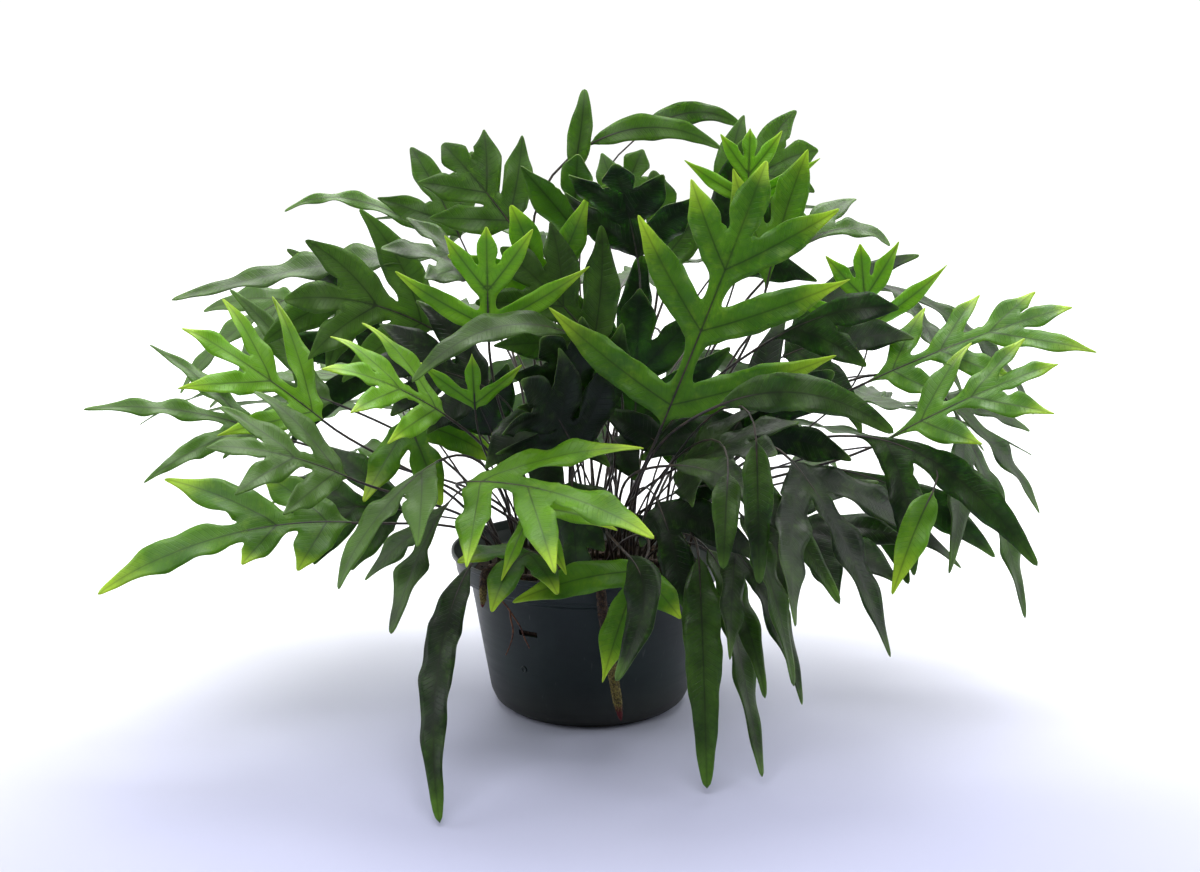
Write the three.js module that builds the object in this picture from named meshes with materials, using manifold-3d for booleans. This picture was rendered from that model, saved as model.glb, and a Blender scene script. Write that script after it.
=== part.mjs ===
// A kangaroo paw fern in a plastic nursery pot. Millimetres, +Z up.
// The origin is the centre of the pot's flat base. The plant's front is toward -Y.
import * as THREE from 'three';
import { mergeVertices } from 'three/addons/utils/BufferGeometryUtils.js';
import Module from 'manifold-3d';

const wasm = await Module();
wasm.setup();

// ---------------------------------------------------------------- driving dimensions
const POT_HEIGHT = 145;
const RIM_RADIUS = 127;
const COLLAR_HEIGHT = 23;
const COLLAR_FOOT_RADIUS = 117;
const WALL_TOP_RADIUS = 110;
const WALL_FOOT_RADIUS = 92;
const BASE_RADIUS = 80;
const WALL = 2.2;
const POT_FLOOR = 3;
const FOOT_HEIGHT = 15;
const POT_SIDES = 28;
const DRAIN_HOLES = 8;
const DRAIN_RADIUS = 7;
const DRAIN_RING_RADIUS = 62;
const SLOT_WIDTH = 19;
const SLOT_HEIGHT = 5;
const SLOT_Z = 90;
const SLOT_ANGLES = [-121, -1, 119];
const CLEARANCE = 0.3;

const SOIL_TOP = 124;
const SOIL_LUMPS = 1.4;
const SOIL_RINGS = [44, 84];
const SOIL_EDGE_RADIUS = 106.2;
const SOIL_SHOULDER_Z = 121;
const SOIL_GAP = 0.6;

const STALK_RADIUS = 1.25;
const STALK_DEPTH = 14;
const STALK_STEPS = 4;
const STALK_RISE = 0.4;
const STALK_BEND = 0.36;
const SHARED_STALK_FOOT = 0.6;
const STALK_HOLE_RADIUS = 3.1;
const STALK_SLOTS = 96;
const STALK_FIELD_RADIUS = 92;
const STALK_ROOM = 4.5;
const LEAN_SHARE = 0.36;
const LEAN_RADIUS = 84;
const GOLDEN_ANGLE = Math.PI * (3 - Math.sqrt(5));

const BLADE_EDGE = 0.7;
const BLADE_RIB = 1.5;
const BLADE_GUTTER = 0.14;
const RUFFLE = 3.2;
const RUFFLE_LENGTH = 46;
const SINUS = 3;
const SHORT_LOBE = 52;
const LONG_LOBE = 160;
const WEB_SHARE = 0.5;
const SHORTEST_LOBE = 7;
const LOBE_SPREAD = 0.9;
const LOBE_SWEEP = 0.1;
const STOUTEST_LOBE = 0.28;
const MARGIN_BAND = 6;
const FIRST_WEB = 0.85;
const STRAP_SHOULDER = 0.14;
const STRAP_SHOULDER_WIDTH = 0.6;

const RHIZOME_RADIUS = 4.6;
const BRANCH_WIDTH = 0.8;
const KNOT = 0.07;
const GROWING_TIP = 0.94;
const TIP_WIDTH = 0.55;
const ROOT_RADIUS = 1.3;
const ROOT_TAPER = 0.5;
const MARGIN = 0.9;
const OWN_MARGIN = 0.2;
const TRIALS = 320;
const FIRST_REACH = 0.12;
const FULL_REACH_TRIALS = 260;
const TURN_REACH = 26;
const TIP_REACH = 20;
const ROLL_REACH = 34;
const PUSH_REACH = 0.14;
const CELL = 22;
const FLOOR_MARGIN = 2.5;
const SOIL_MARGIN = 6;

// ---------------------------------------------------------------- lobe plans
// Each pair of side lobes: place along the blade, length of the left lobe, length of the
// right lobe (both as shares of the blade's length), the lobes' angle in degrees, and the
// right lobe's own angle where it differs.
const PLANS = {
  strap: [],
  fork_left: [[0.16, 0.66, 0, 42]],
  fork_right: [[0.16, 0, 0.66, 42]],
  paw3: [[0.12, 0.72, 0.66, 46]],
  paw3_long: [[0.1, 0.95, 0.9, 50]],
  paw3_wide: [[0.1, 0.5, 1, 62]],
  paw5: [[0.08, 0.66, 0.72, 54], [0.38, 0.6, 0.54, 42]],
  paw5_small: [[0.06, 0.95, 1.05, 64], [0.4, 0.6, 0.66, 40]],
  hero: [[0.08, 0.54, 0.57, 79, 56], [0.36, 0.44, 0.52, 54], [0.59, 0.32, 0.42, 45]],
  wing: [[0.12, 0.36, 0.3, 58], [0.36, 0.34, 0.42, 52], [0.6, 0.28, 0.5, 36]],
  fan: [[0.2, 0.5, 0.42, 52], [0.5, 0.4, 0.5, 40]],
  spread: [[0.08, 0.64, 0.55, 37, 62], [0.34, 0, 0.52, 42]],
  sickle: [[0.1, 0.26, 0.34, 58], [0.3, 0.22, 0.46, 44, 52]],
};

// ---------------------------------------------------------------- planting list
// Every frond: name, neck where the blade begins, tip, rise of the arch, sideways sway,
// the way its upper face looks, lobe plan, half width of a lobe and freedom to lean aside.
const FRONT = [0, -1, 0.35];
const FRONT_UP = [0, -0.6, 0.8];
const FRONT_LEFT = [-0.3, -0.9, 0.3];
const OUT_LEFT = [-0.5, -0.5, 0.7];
const OUT_RIGHT = [0.5, -0.5, 0.7];
const LOW_LEFT = [-0.7, -0.7, 0.4];
const LOW_RIGHT = [0.7, -0.7, 0.4];

const FRONDS = [
  ['hero_frond', [60, -140, 285], [145, -110, 500], 0, 6, FRONT, 'hero', 14, 0.2],
  ['bright_wing_right', [240, -70, 310], [400, -110, 380], 8, 0, FRONT_UP, 'wing', 11, 0.3],
  ['bright_fan_right', [250, -120, 270], [375, -170, 342], 8, 0, FRONT_UP, 'fan', 11, 0.3],
  ['paw_front_left', [-100, -150, 240], [50, -270, 225], 24, 0, FRONT_UP, 'spread', 14.5, 0.3],
  ['strap_glossy_right', [105, -180, 310], [235, -235, 300], 38, 0, FRONT, 'strap', 15, 0.6],
  ['wing_left', [-205, -90, 190], [-405, -170, 152], 36, 0, FRONT_UP, 'sickle', 17, 0.3],
  ['strap_hanging_left', [-100, -140, 165], [-116, -296, 6], 30, 26, FRONT_LEFT, 'strap', 14.5, 0.4],
  ['strap_hanging_front', [90, -165, 180], [95, -232, 6], 30, 0, FRONT_UP, 'strap', 15.5, 0.4],
  ['strap_left_long', [-130, 20, 410], [-367, -20, 372], 18, 0, OUT_LEFT, 'strap', 18, 0.5],
  ['paw_lime_left', [-85, -90, 355], [-85, -100, 445], 0, 0, FRONT, 'paw5_small', 9, 0.4],
  ['upright_bright_top', [155, -20, 385], [191, 0, 504], 0, -10, FRONT, 'fork_left', 15, 0.5],
  ['low_paw_front', [45, -180, 180], [11, -216, 90], 14, 0, FRONT_UP, 'paw3_wide', 13.5, 0.5],
  ['dark_arch_right', [75, -170, 255], [210, -236, 159], 56, 0, FRONT_UP, 'strap', 15, 0.8],
  ['strap_front_left', [-125, -140, 255], [-200, -230, 175], 26, 0, OUT_LEFT, 'fork_left', 15, 0.6],
  ['broad_dark_right', [165, -160, 260], [241, -225, 115], 34, 0, LOW_RIGHT, 'paw3_long', 16, 0.7],
  ['curled_front', [50, -195, 230], [48, -262, 149], 26, -40, FRONT_UP, 'strap', 15, 0.9],
  ['bright_low_right', [280, -165, 235], [243, -205, 160], 12, 0, FRONT, 'strap', 12.5, 0.7],
  ['curled_right', [230, -120, 270], [374, -170, 169], 50, 0, FRONT, 'fork_right', 15, 0.7],
  ['long_dark_right', [315, -60, 285], [381, -92, 105], 34, 0, LOW_RIGHT, 'fork_right', 15, 0.6],
  ['crest_arch', [0, 90, 505], [123, 110, 501], 34, 0, FRONT, 'strap', 12, 0.7],
  ['crest_upright', [-15, 70, 480], [-5, 80, 556], 0, 4, FRONT, 'strap', 11, 0.7],
  ['crest_left_paw', [-70, 60, 430], [-136, 80, 506], 6, 0, FRONT, 'paw5', 14, 0.8],
  ['crest_right_paw', [125, 110, 445], [215, 120, 498], 22, 0, FRONT, 'paw5', 14, 0.8],
  ['dark_upright', [60, 0, 400], [52, 20, 499], 0, 8, FRONT, 'fork_right', 17, 0.8],
  ['arch_low_right', [110, -150, 190], [177, -200, 66], 46, 0, LOW_RIGHT, 'fork_right', 13, 0.7],
  ['strap_hanging_narrow', [110, -135, 160], [140, -210, 7], 22, 0, LOW_RIGHT, 'strap', 13, 0.6],
  ['left_front_hanging', [-115, -160, 225], [-157, -225, 134], 22, 0, LOW_LEFT, 'fork_right', 14, 0.7],
  ['lime_paw_side', [-235, -40, 270], [-344, -80, 359], 8, 0, FRONT_UP, 'paw5', 11, 0.5],
  ['paw_lime_low_left', [-120, -120, 290], [-211, -180, 341], 14, 0, FRONT_UP, 'paw5', 10, 0.6],
  ['strap_centre', [-15, -120, 360], [-137, -195, 329], 44, 0, FRONT_UP, 'strap', 15, 0.7],
  ['paw_centre', [10, -60, 335], [-75, -70, 425], 10, 0, FRONT, 'paw5', 15, 0.7],
  ['crest_young_paw', [140, 10, 455], [141, 10, 522], 0, 0, FRONT, 'paw5_small', 7, 0.6],
  ['arch_centre', [-15, 30, 420], [-10, -20, 500], 20, 0, FRONT, 'paw3', 14, 0.8],
  ['paw_centre_left', [-35, -40, 375], [-66, -60, 459], 6, 0, FRONT, 'paw3_long', 13, 0.8],
  ['strap_far_left', [-155, 150, 415], [-301, 160, 443], 40, 0, FRONT_UP, 'strap', 9, 0.8],
  ['grey_back_left', [-125, 130, 415], [-174, 160, 500], 8, 0, FRONT, 'paw3', 13, 0.9],
  ['drooping_left', [-275, 90, 365], [-391, 80, 274], 26, 0, OUT_LEFT, 'paw3', 15, 0.8],
  ['paw_left_mid', [-140, 0, 345], [-267, -30, 375], 24, 0, FRONT, 'paw5', 15, 0.9],
  ['light_strap_left', [-90, -40, 405], [-166, -80, 432], 14, 0, FRONT_UP, 'paw3', 13, 0.9],
  ['slender_left', [-290, 0, 250], [-442, -50, 282], 20, 0, FRONT_UP, 'paw3', 10, 0.6],
  ['paw_left_low', [-205, -110, 235], [-309, -170, 274], 14, 0, FRONT_UP, 'paw5', 12, 0.8],
  ['fork_left_mid', [-235, 20, 275], [-353, 0, 296], 16, 0, FRONT_UP, 'paw3_long', 12, 0.9],
  ['young_paw_inner', [-95, -120, 295], [-95, -150, 345], 4, 0, FRONT, 'paw3_long', 6.5, 0.9],
  ['young_paw_right', [245, -20, 345], [235, -30, 424], 0, 0, FRONT, 'paw5_small', 8, 0.6],
  ['strap_mid_right', [155, -90, 350], [255, -120, 380], 18, 0, FRONT, 'fork_right', 14, 0.7],
  ['arch_right_back', [190, 60, 410], [283, 90, 413], 34, 0, FRONT_UP, 'fork_left', 12, 0.9],
  ['arch_far_right', [255, 60, 380], [414, 30, 265], 50, 0, OUT_RIGHT, 'fork_right', 12, 0.8],
  ['grey_low_right', [225, -60, 220], [356, -95, 149], 24, 0, FRONT, 'fork_right', 14, 0.9],
  ['far_right_hanging', [305, 10, 290], [413, 0, 177], 26, 0, OUT_RIGHT, 'fork_left', 13, 0.8],
  ['short_front_right', [110, -205, 260], [105, -240, 192], 14, 0, FRONT, 'strap', 11, 1.2],
  ['short_mid_right', [140, -210, 290], [144, -240, 183], 16, 0, FRONT, 'strap', 11.5, 1.2],
  ['dark_low_right', [110, -120, 165], [158, -180, 57], 30, 0, LOW_RIGHT, 'strap', 13, 1.0],
  ['pale_paw_front', [-50, -165, 225], [-18, -208, 178], 8, 0, FRONT, 'paw3_long', 7, 0.9],
  ['strap_left_back', [-185, 40, 365], [-297, 20, 329], 30, 0, FRONT, 'fork_left', 15, 1.0],
  ['inner_front_paw', [-30, -110, 235], [-70, -190, 292], 14, 0, FRONT, 'paw5', 14, 1.1],
  ['inner_right_paw', [75, -95, 240], [151, -175, 268], 18, 0, FRONT_UP, 'paw5', 15, 1.1],
  ['inner_left_paw', [-120, -60, 295], [-216, -120, 303], 18, 0, FRONT_UP, 'paw5', 14, 1.1],
  ['inner_crown', [30, -10, 395], [17, -70, 473], 12, 0, FRONT, 'paw5', 15, 1.1],
  ['inner_crown_right', [115, 30, 395], [181, -10, 459], 12, 0, FRONT, 'paw3_long', 14, 1.1],
  ['inner_left_back', [-180, 60, 295], [-310, 50, 319], 24, 0, FRONT, 'paw3_long', 14, 1.2],
  ['inner_right_back', [190, 0, 315], [306, -40, 322], 24, 0, FRONT, 'paw3_long', 15, 1.2],
  ['inner_low_right', [150, -110, 205], [262, -180, 176], 24, 0, FRONT_UP, 'paw5', 14, 1.1],
  ['inner_low_left', [-150, -60, 210], [-252, -120, 221], 22, 0, FRONT_UP, 'paw5', 13, 1.1],
  ['inner_low_front', [-40, -150, 185], [-66, -232, 168], 20, 0, FRONT_UP, 'paw3', 13, 1.1],
  ['inner_centre', [20, -95, 280], [-28, -140, 356], 10, 0, FRONT, 'paw5', 14, 1.2],
  ['inner_deep', [40, -20, 255], [43, -60, 388], 10, 0, FRONT, 'paw5', 16, 1.2],
  ['inner_gap_left', [-75, -20, 260], [-104, -40, 337], 10, 0, FRONT, 'paw3', 14, 1.4],
  ['inner_gap_right', [125, -60, 265], [183, -80, 339], 10, 0, FRONT, 'paw3_long', 15, 1.2],
  ['deep_front_middle', [0, -70, 270], [12, -110, 176], 12, 0, FRONT, 'paw5', 16, 1.6],
  ['deep_front_left', [-95, -60, 280], [-38, -110, 193], 12, 0, FRONT, 'paw3_long', 16, 1.6],
  ['deep_right', [155, -60, 265], [108, -90, 192], 12, 0, FRONT, 'paw3_long', 15, 1.6],
  ['deep_left', [-165, -20, 270], [-131, -60, 198], 10, 0, FRONT, 'paw3_long', 14, 1.6],
  ['deep_middle_low', [30, -60, 255], [67, -100, 204], 12, 0, FRONT, 'strap', 14, 1.6],
  ['deep_middle_right', [100, -60, 235], [53, -90, 276], 8, 0, FRONT, 'strap', 14, 1.6],
  ['deep_middle_back', [95, 60, 200], [46, 50, 272], 6, 0, FRONT, 'strap', 16, 1.6],
  ['deep_middle_left', [-65, 20, 210], [-27, 0, 281], 6, 0, FRONT, 'strap', 15, 1.6],
  ['second_dark_right', [145, -190, 260], [206, -245, 131], 40, 0, LOW_RIGHT, 'strap', 13, 1.2],
  ['deep_pot_right', [65, -90, 230], [105, -140, 158], 18, 0, FRONT, 'paw3_long', 15, 1.6],
  ['deep_upper_middle', [25, 60, 320], [34, 40, 417], 4, 0, FRONT, 'strap', 15, 1.6],
  ['back_low_left', [-170, 190, 230], [-330, 300, 190], 34, 0, [-0.5, 0.6, 0.7], 'paw3_long', 16, 1.4],
  ['back_mid_left', [-110, 200, 330], [-190, 360, 300], 34, 0, [-0.3, 0.6, 0.8], 'paw3_long', 16, 1.4],
  ['back_low', [-20, 190, 300], [-50, 300, 150], 20, 0, [0, 0.9, 0.4], 'paw5', 17, 1.4],
  ['back_mid', [30, 190, 360], [70, 350, 345], 34, 0, [0, 0.6, 0.8], 'paw3_long', 16, 1.4],
  ['back_low_right', [150, 200, 220], [270, 320, 150], 36, 0, [0.5, 0.6, 0.7], 'paw3_long', 16, 1.4],
  ['back_mid_right', [140, 180, 330], [290, 270, 320], 30, 0, [0.4, 0.5, 0.8], 'paw3_long', 16, 1.4],
  ['back_crest_left', [-60, 150, 410], [-150, 260, 400], 30, 0, [-0.2, 0.5, 0.9], 'paw3_long', 14, 1.4],
  ['back_crest_right', [90, 150, 420], [180, 250, 410], 30, 0, [0.2, 0.5, 0.9], 'paw3_long', 14, 1.4],
  ['side_left_back', [-230, 110, 280], [-390, 200, 240], 36, 0, [-0.6, 0.3, 0.8], 'paw3_long', 14, 1.4],
  ['side_right_back', [240, 110, 270], [390, 190, 220], 36, 0, [0.6, 0.3, 0.8], 'paw3_long', 15, 1.4],
  ['side_low_left', [-180, 80, 200], [-320, 130, 150], 40, 0, [-0.8, 0.2, 0.6], 'paw3_long', 15, 1.4],
  ['side_low_right', [190, 70, 190], [310, 130, 130], 40, 0, [0.8, 0.2, 0.6], 'paw3_long', 15, 1.4],
  ['crest_middle', [15, 95, 450], [35, 120, 510], 8, 0, FRONT, 'paw3', 13, 1.4],
  ['crest_high_arch', [45, 140, 510], [145, 150, 521], 34, 0, FRONT, 'strap', 11, 1.4],
  ['back_hanging', [60, 180, 290], [80, 280, 130], 20, 0, [0, 0.9, 0.4], 'paw3_long', 17, 1.4],
];

// Young fronds that share the stalk base of an older neighbour.
const SHARED_BASES = {
  bright_low_right: 'bright_fan_right',
  crest_upright: 'crest_arch',
  strap_hanging_narrow: 'strap_hanging_front',
  left_front_hanging: 'strap_front_left',
  crest_young_paw: 'upright_bright_top',
  paw_centre_left: 'paw_lime_left',
  grey_back_left: 'crest_left_paw',
  young_paw_inner: 'paw_lime_low_left',
  young_paw_right: 'bright_wing_right',
  far_right_hanging: 'long_dark_right',
  short_front_right: 'dark_arch_right',
  short_mid_right: 'strap_glossy_right',
  dark_low_right: 'arch_low_right',
  pale_paw_front: 'paw_front_left',
  inner_front_paw: 'curled_front',
  inner_left_paw: 'paw_left_low',
  inner_crown: 'arch_centre',
  inner_crown_right: 'crest_right_paw',
  inner_right_back: 'arch_right_back',
  inner_low_right: 'grey_low_right',
  inner_low_left: 'fork_left_mid',
  inner_low_front: 'low_paw_front',
  inner_centre: 'paw_centre',
  inner_gap_left: 'inner_left_back',
  inner_gap_right: 'inner_right_paw',
  deep_front_middle: 'strap_centre',
  deep_front_left: 'strap_hanging_left',
  deep_right: 'broad_dark_right',
  deep_left: 'wing_left',
  deep_middle_low: 'inner_deep',
  deep_middle_right: 'dark_upright',
  deep_middle_back: 'arch_far_right',
  deep_middle_left: 'paw_left_mid',
  second_dark_right: 'curled_right',
  deep_pot_right: 'strap_mid_right',
  deep_upper_middle: 'light_strap_left',
  crest_middle: 'back_crest_left',
  crest_high_arch: 'back_crest_right',
};

// The words in a name that mark a young, bright frond.
const YOUNG = ['hero_frond', 'bright', 'lime', 'young', 'low_paw', 'paw_front', 'wing_left', 'pale'];

// ---------------------------------------------------------------- small helpers
const point = (p) => new THREE.Vector3(p[0], p[1], p[2]);
const radians = THREE.MathUtils.degToRad;
const UP = new THREE.Vector3(0, 0, 1);

// A repeatable run of numbers from 0 to 1.
function makeDraw(seed) {
  let state = seed;
  return () => {
    state = (state * 16807) % 2147483647;
    return state / 2147483647;
  };
}

function solidFrom(geometry) {
  const bare = geometry.clone();
  bare.deleteAttribute('normal');
  bare.deleteAttribute('uv');
  const merged = mergeVertices(bare, 1e-4);
  return new wasm.Manifold(new wasm.Mesh({
    numProp: 3,
    vertProperties: merged.attributes.position.array,
    triVerts: new Uint32Array(merged.index.array),
  }));
}

function geometryFrom(solid) {
  const mesh = solid.getMesh();
  const geometry = new THREE.BufferGeometry();
  geometry.setAttribute('position', new THREE.BufferAttribute(mesh.vertProperties, 3));
  geometry.setIndex(new THREE.BufferAttribute(mesh.triVerts, 1));
  return geometry;
}

function geometryOf(points, triangles) {
  const geometry = new THREE.BufferGeometry();
  const flat = points.flatMap((p) => [p.x, p.y, p.z]);
  geometry.setAttribute('position', new THREE.Float32BufferAttribute(flat, 3));
  geometry.setIndex(triangles.flat());
  return geometry;
}

// ---------------------------------------------------------------- pot
function potInside() {
  const collarFoot = POT_HEIGHT - COLLAR_HEIGHT;
  return [
    [0, POT_FLOOR],
    [BASE_RADIUS - 10, POT_FLOOR],
    [BASE_RADIUS + 4, POT_FLOOR + 7],
    [WALL_FOOT_RADIUS - WALL, FOOT_HEIGHT + 5],
    [WALL_TOP_RADIUS - WALL, collarFoot - 1],
    [RIM_RADIUS - 5, collarFoot + 4],
    [RIM_RADIUS - 2.4, POT_HEIGHT],
  ];
}

function potOutside() {
  const collarFoot = POT_HEIGHT - COLLAR_HEIGHT;
  return [
    [0, 0],
    [BASE_RADIUS, 0],
    [BASE_RADIUS + 8, 6],
    [WALL_FOOT_RADIUS, FOOT_HEIGHT],
    [WALL_TOP_RADIUS, collarFoot - 3],
    [COLLAR_FOOT_RADIUS + 2, collarFoot],
    [RIM_RADIUS - 2.5, POT_HEIGHT - 5],
    [RIM_RADIUS, POT_HEIGHT - 4],
    [RIM_RADIUS, POT_HEIGHT],
  ];
}

function hangerSlot(angle) {
  const cutter = new THREE.BoxGeometry(30, SLOT_WIDTH, SLOT_HEIGHT);
  cutter.translate(WALL_TOP_RADIUS - 4, 0, SLOT_Z);
  cutter.rotateZ(radians(angle));
  return solidFrom(cutter);
}

function drainHole(index) {
  const cutter = new THREE.CylinderGeometry(DRAIN_RADIUS, DRAIN_RADIUS, 20, 10);
  cutter.rotateX(Math.PI / 2);
  cutter.translate(DRAIN_RING_RADIUS, 0, 0);
  cutter.rotateZ((2 * Math.PI * index) / DRAIN_HOLES);
  return solidFrom(cutter);
}

function makePot() {
  const profile = [...potOutside(), ...potInside().reverse()];
  const lathe = new THREE.LatheGeometry(profile.map(([r, z]) => new THREE.Vector2(r, z)), POT_SIDES);
  lathe.rotateX(Math.PI / 2);
  let pot = solidFrom(lathe);
  for (const angle of SLOT_ANGLES) pot = pot.subtract(hangerSlot(angle));
  for (let k = 0; k < DRAIN_HOLES; k += 1) pot = pot.subtract(drainHole(k));
  return pot;
}

// ---------------------------------------------------------------- one frond: its curves
// The blade's spine is an arch from the neck to the tip. The stalk rises straight from its
// hole in the soil, then bends over to meet the spine.
function readFrond(entry) {
  const [name, neck, tip, arch, sway, face, plan, halfWidth, freedom] = entry;
  const neighbour = SHARED_BASES[name];
  const curve = { neck: point(neck), tip: point(tip), arch, sway, face: point(face) };
  return { name, ...curve, plan, halfWidth, freedom, neighbour };
}

// One trial stance of a frond: turned and tipped about its root, rolled about its spine,
// and pushed in or out. Trial 0 is the planting list's own stance.
function stanceOf(frond, trial) {
  const draw = makeDraw(7919 + trial * 131);
  const reach = trial === 0 ? 0 : frond.freedom * Math.min(1, FIRST_REACH + trial / FULL_REACH_TRIALS);
  const swing = () => (2 * draw() - 1) * reach;
  const turn = radians(TURN_REACH) * swing();
  const tip = radians(TIP_REACH) * swing();
  const roll = radians(ROLL_REACH) * swing();
  const push = 1 + PUSH_REACH * swing();
  const outward = frond.neck.clone().sub(frond.root).setZ(0).normalize();
  const hinge = new THREE.Vector3().crossVectors(UP, outward);
  const lean = new THREE.Quaternion().setFromAxisAngle(UP, turn);
  lean.multiply(new THREE.Quaternion().setFromAxisAngle(hinge, tip));
  const place = (p) => p.clone().sub(frond.root).multiplyScalar(push).applyQuaternion(lean).add(frond.root);
  const side = new THREE.Vector3().subVectors(frond.tip, frond.neck).cross(UP).normalize();
  const middle = frond.neck.clone().add(frond.tip).multiplyScalar(0.5);
  middle.addScaledVector(UP, frond.arch).addScaledVector(side, frond.sway);
  const neck = place(frond.neck);
  const crown = place(middle);
  const end = place(frond.tip);
  const spineLine = new THREE.Vector3().subVectors(end, neck).normalize();
  const face = frond.face.clone().normalize().applyQuaternion(lean).applyAxisAngle(spineLine, roll);
  const chord = neck.distanceTo(end);
  const length = (2 * chord + neck.distanceTo(crown) + crown.distanceTo(end)) / 3;
  return { neck, crown, end, face, length };
}

// The frame at a share of the spine: the place, the way along, the upper side and the right.
function spineFrame(stance, share) {
  const t = Math.min(share, 1);
  const back = 1 - t;
  const place = stance.neck.clone().multiplyScalar(back * back);
  place.addScaledVector(stance.crown, 2 * back * t).addScaledVector(stance.end, t * t);
  const along = stance.crown.clone().sub(stance.neck).multiplyScalar(back);
  along.addScaledVector(stance.end.clone().sub(stance.crown), t).normalize();
  place.addScaledVector(along, Math.max(0, share - 1) * stance.length);
  const upper = stance.face.clone().addScaledVector(along, -stance.face.dot(along)).normalize();
  const right = new THREE.Vector3().crossVectors(along, upper);
  return { place, along, upper, right };
}

// Where a spot of the flat blade lies: u along the spine, v to the right, lift above.
function bladePoint(stance, u, v, lift) {
  const frame = spineFrame(stance, u / stance.length);
  return frame.place.addScaledVector(frame.right, v).addScaledVector(frame.upper, lift);
}

// ---------------------------------------------------------------- one frond: its outline
// The lobes of a blade with their roots on the web's edge, kept a sinus apart.
function layOutLobes(frond, stance, choices) {
  const web = webOf(frond);
  const lobes = [];
  PLANS[frond.plan].forEach(([at, left, right, degrees, rightDegrees = degrees], pair) => {
    for (const side of [-1, 1]) {
      const share = side < 0 ? left : right;
      const index = lobes.length;
      const choice = choices[index] || LOBE_CHOICES[0];
      const angle = radians(side < 0 ? degrees : rightDegrees);
      const length = Math.max(share * stance.length * choice.size, web / Math.sin(angle) + SHORTEST_LOBE);
      const half = Math.min(frond.halfWidth, length * STOUTEST_LOBE);
      const base = (half * LOBE_SPREAD) / Math.sin(angle);
      const centre = at * stance.length + web / Math.tan(angle);
      const rib = { angle, length, half, bend: choice.bend, start: at * stance.length };
      lobes.push({ index, pair, side, ...rib, from: centre - base, to: centre + base, present: share > 0 });
    }
  });
  for (const side of [-1, 1]) {
    const row = lobes.filter((lobe) => lobe.side === side);
    if (row.length) row[0].from = Math.max(row[0].from, 5);
    for (let k = 1; k < row.length; k += 1) {
      const gap = row[k].from - row[k - 1].to;
      if (gap >= SINUS) continue;
      row[k - 1].to -= (SINUS - gap) / 2;
      row[k].from += (SINUS - gap) / 2;
    }
  }
  return lobes;
}

function webOf(frond) {
  return frond.halfWidth * WEB_SHARE;
}

// The wave of a margin at a distance along a lobe.
function ruffleAt(distance, lobe) {
  return RUFFLE * Math.sin((2 * Math.PI * distance) / RUFFLE_LENGTH + 1.7 * lobe.index + 1.1 * lobe.side);
}

// A spot of a side lobe: a distance from the spine along its rib, and across toward the tip.
function lobePoint(stance, lobe, distance, across) {
  const u = lobe.start + distance * Math.cos(lobe.angle) + (LOBE_SWEEP * distance * distance) / lobe.length
    + across * Math.sin(lobe.angle);
  const v = lobe.side * (distance * Math.sin(lobe.angle) - across * Math.cos(lobe.angle));
  const edge = Math.min(1, Math.abs(across) / MARGIN_BAND);
  const lift = BLADE_GUTTER * Math.abs(across) + (lobe.bend * distance * distance) / lobe.length
    + edge * ruffleAt(distance + across, lobe);
  return bladePoint(stance, u, v, lift);
}

// A spot of the end lobe, which runs on along the spine from the last side lobes.
function endPoint(stance, end, u, v) {
  const distance = u - end.start;
  const edge = Math.min(1, Math.abs(v) / MARGIN_BAND);
  const lift = BLADE_GUTTER * Math.abs(v) + (end.bend * distance * distance) / end.length
    + edge * ruffleAt(u, { index: 5, side: Math.sign(v) });
  return bladePoint(stance, u, v, lift);
}

// How a lobe may be eased clear of its neighbours: bent up or down, or grown shorter.
const LOBE_CHOICES = [
  [0, 1], [0.16, 1], [-0.16, 1], [0.32, 1], [-0.32, 1], [0.5, 0.95], [-0.5, 0.95], [0, 0.7],
  [0.25, 0.7], [-0.25, 0.7], [0.7, 0.8], [-0.7, 0.8], [0, 0.45], [0.3, 0.4], [-0.3, 0.4], [0, 0.22],
].map(([bend, size]) => ({ bend, size }));

// ---------------------------------------------------------------- one frond: its surface
// Collects the blade's middle surface: flat spots, their places, thickness and triangles.
function makeSheet() {
  return { flat: [], places: [], thick: [], triangles: [], owners: [] };
}

function addSpot(sheet, u, v, place, thickness) {
  sheet.flat.push([u, v]);
  sheet.places.push(place);
  sheet.thick.push(thickness);
  return sheet.flat.length - 1;
}

// Adds one triangle of the upper side. The left half of a blade mirrors the right half.
function addFacet(sheet, owner, mirrored, a, b, c) {
  sheet.triangles.push(mirrored ? [a, c, b] : [a, b, c]);
  sheet.owners.push(owner);
}

// Where a lobe is measured across: shares of its length, each with its share of the width.
// A long lobe stays wide for most of its length and then runs out to a drawn point.
function lobeStations(length) {
  if (length < SHORT_LOBE) return [[0.42, 0.92]];
  if (length < LONG_LOBE) return [[0.38, 1], [0.78, 0.8]];
  return [[0.28, 1], [0.6, 1], [0.86, 0.64]];
}

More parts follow.
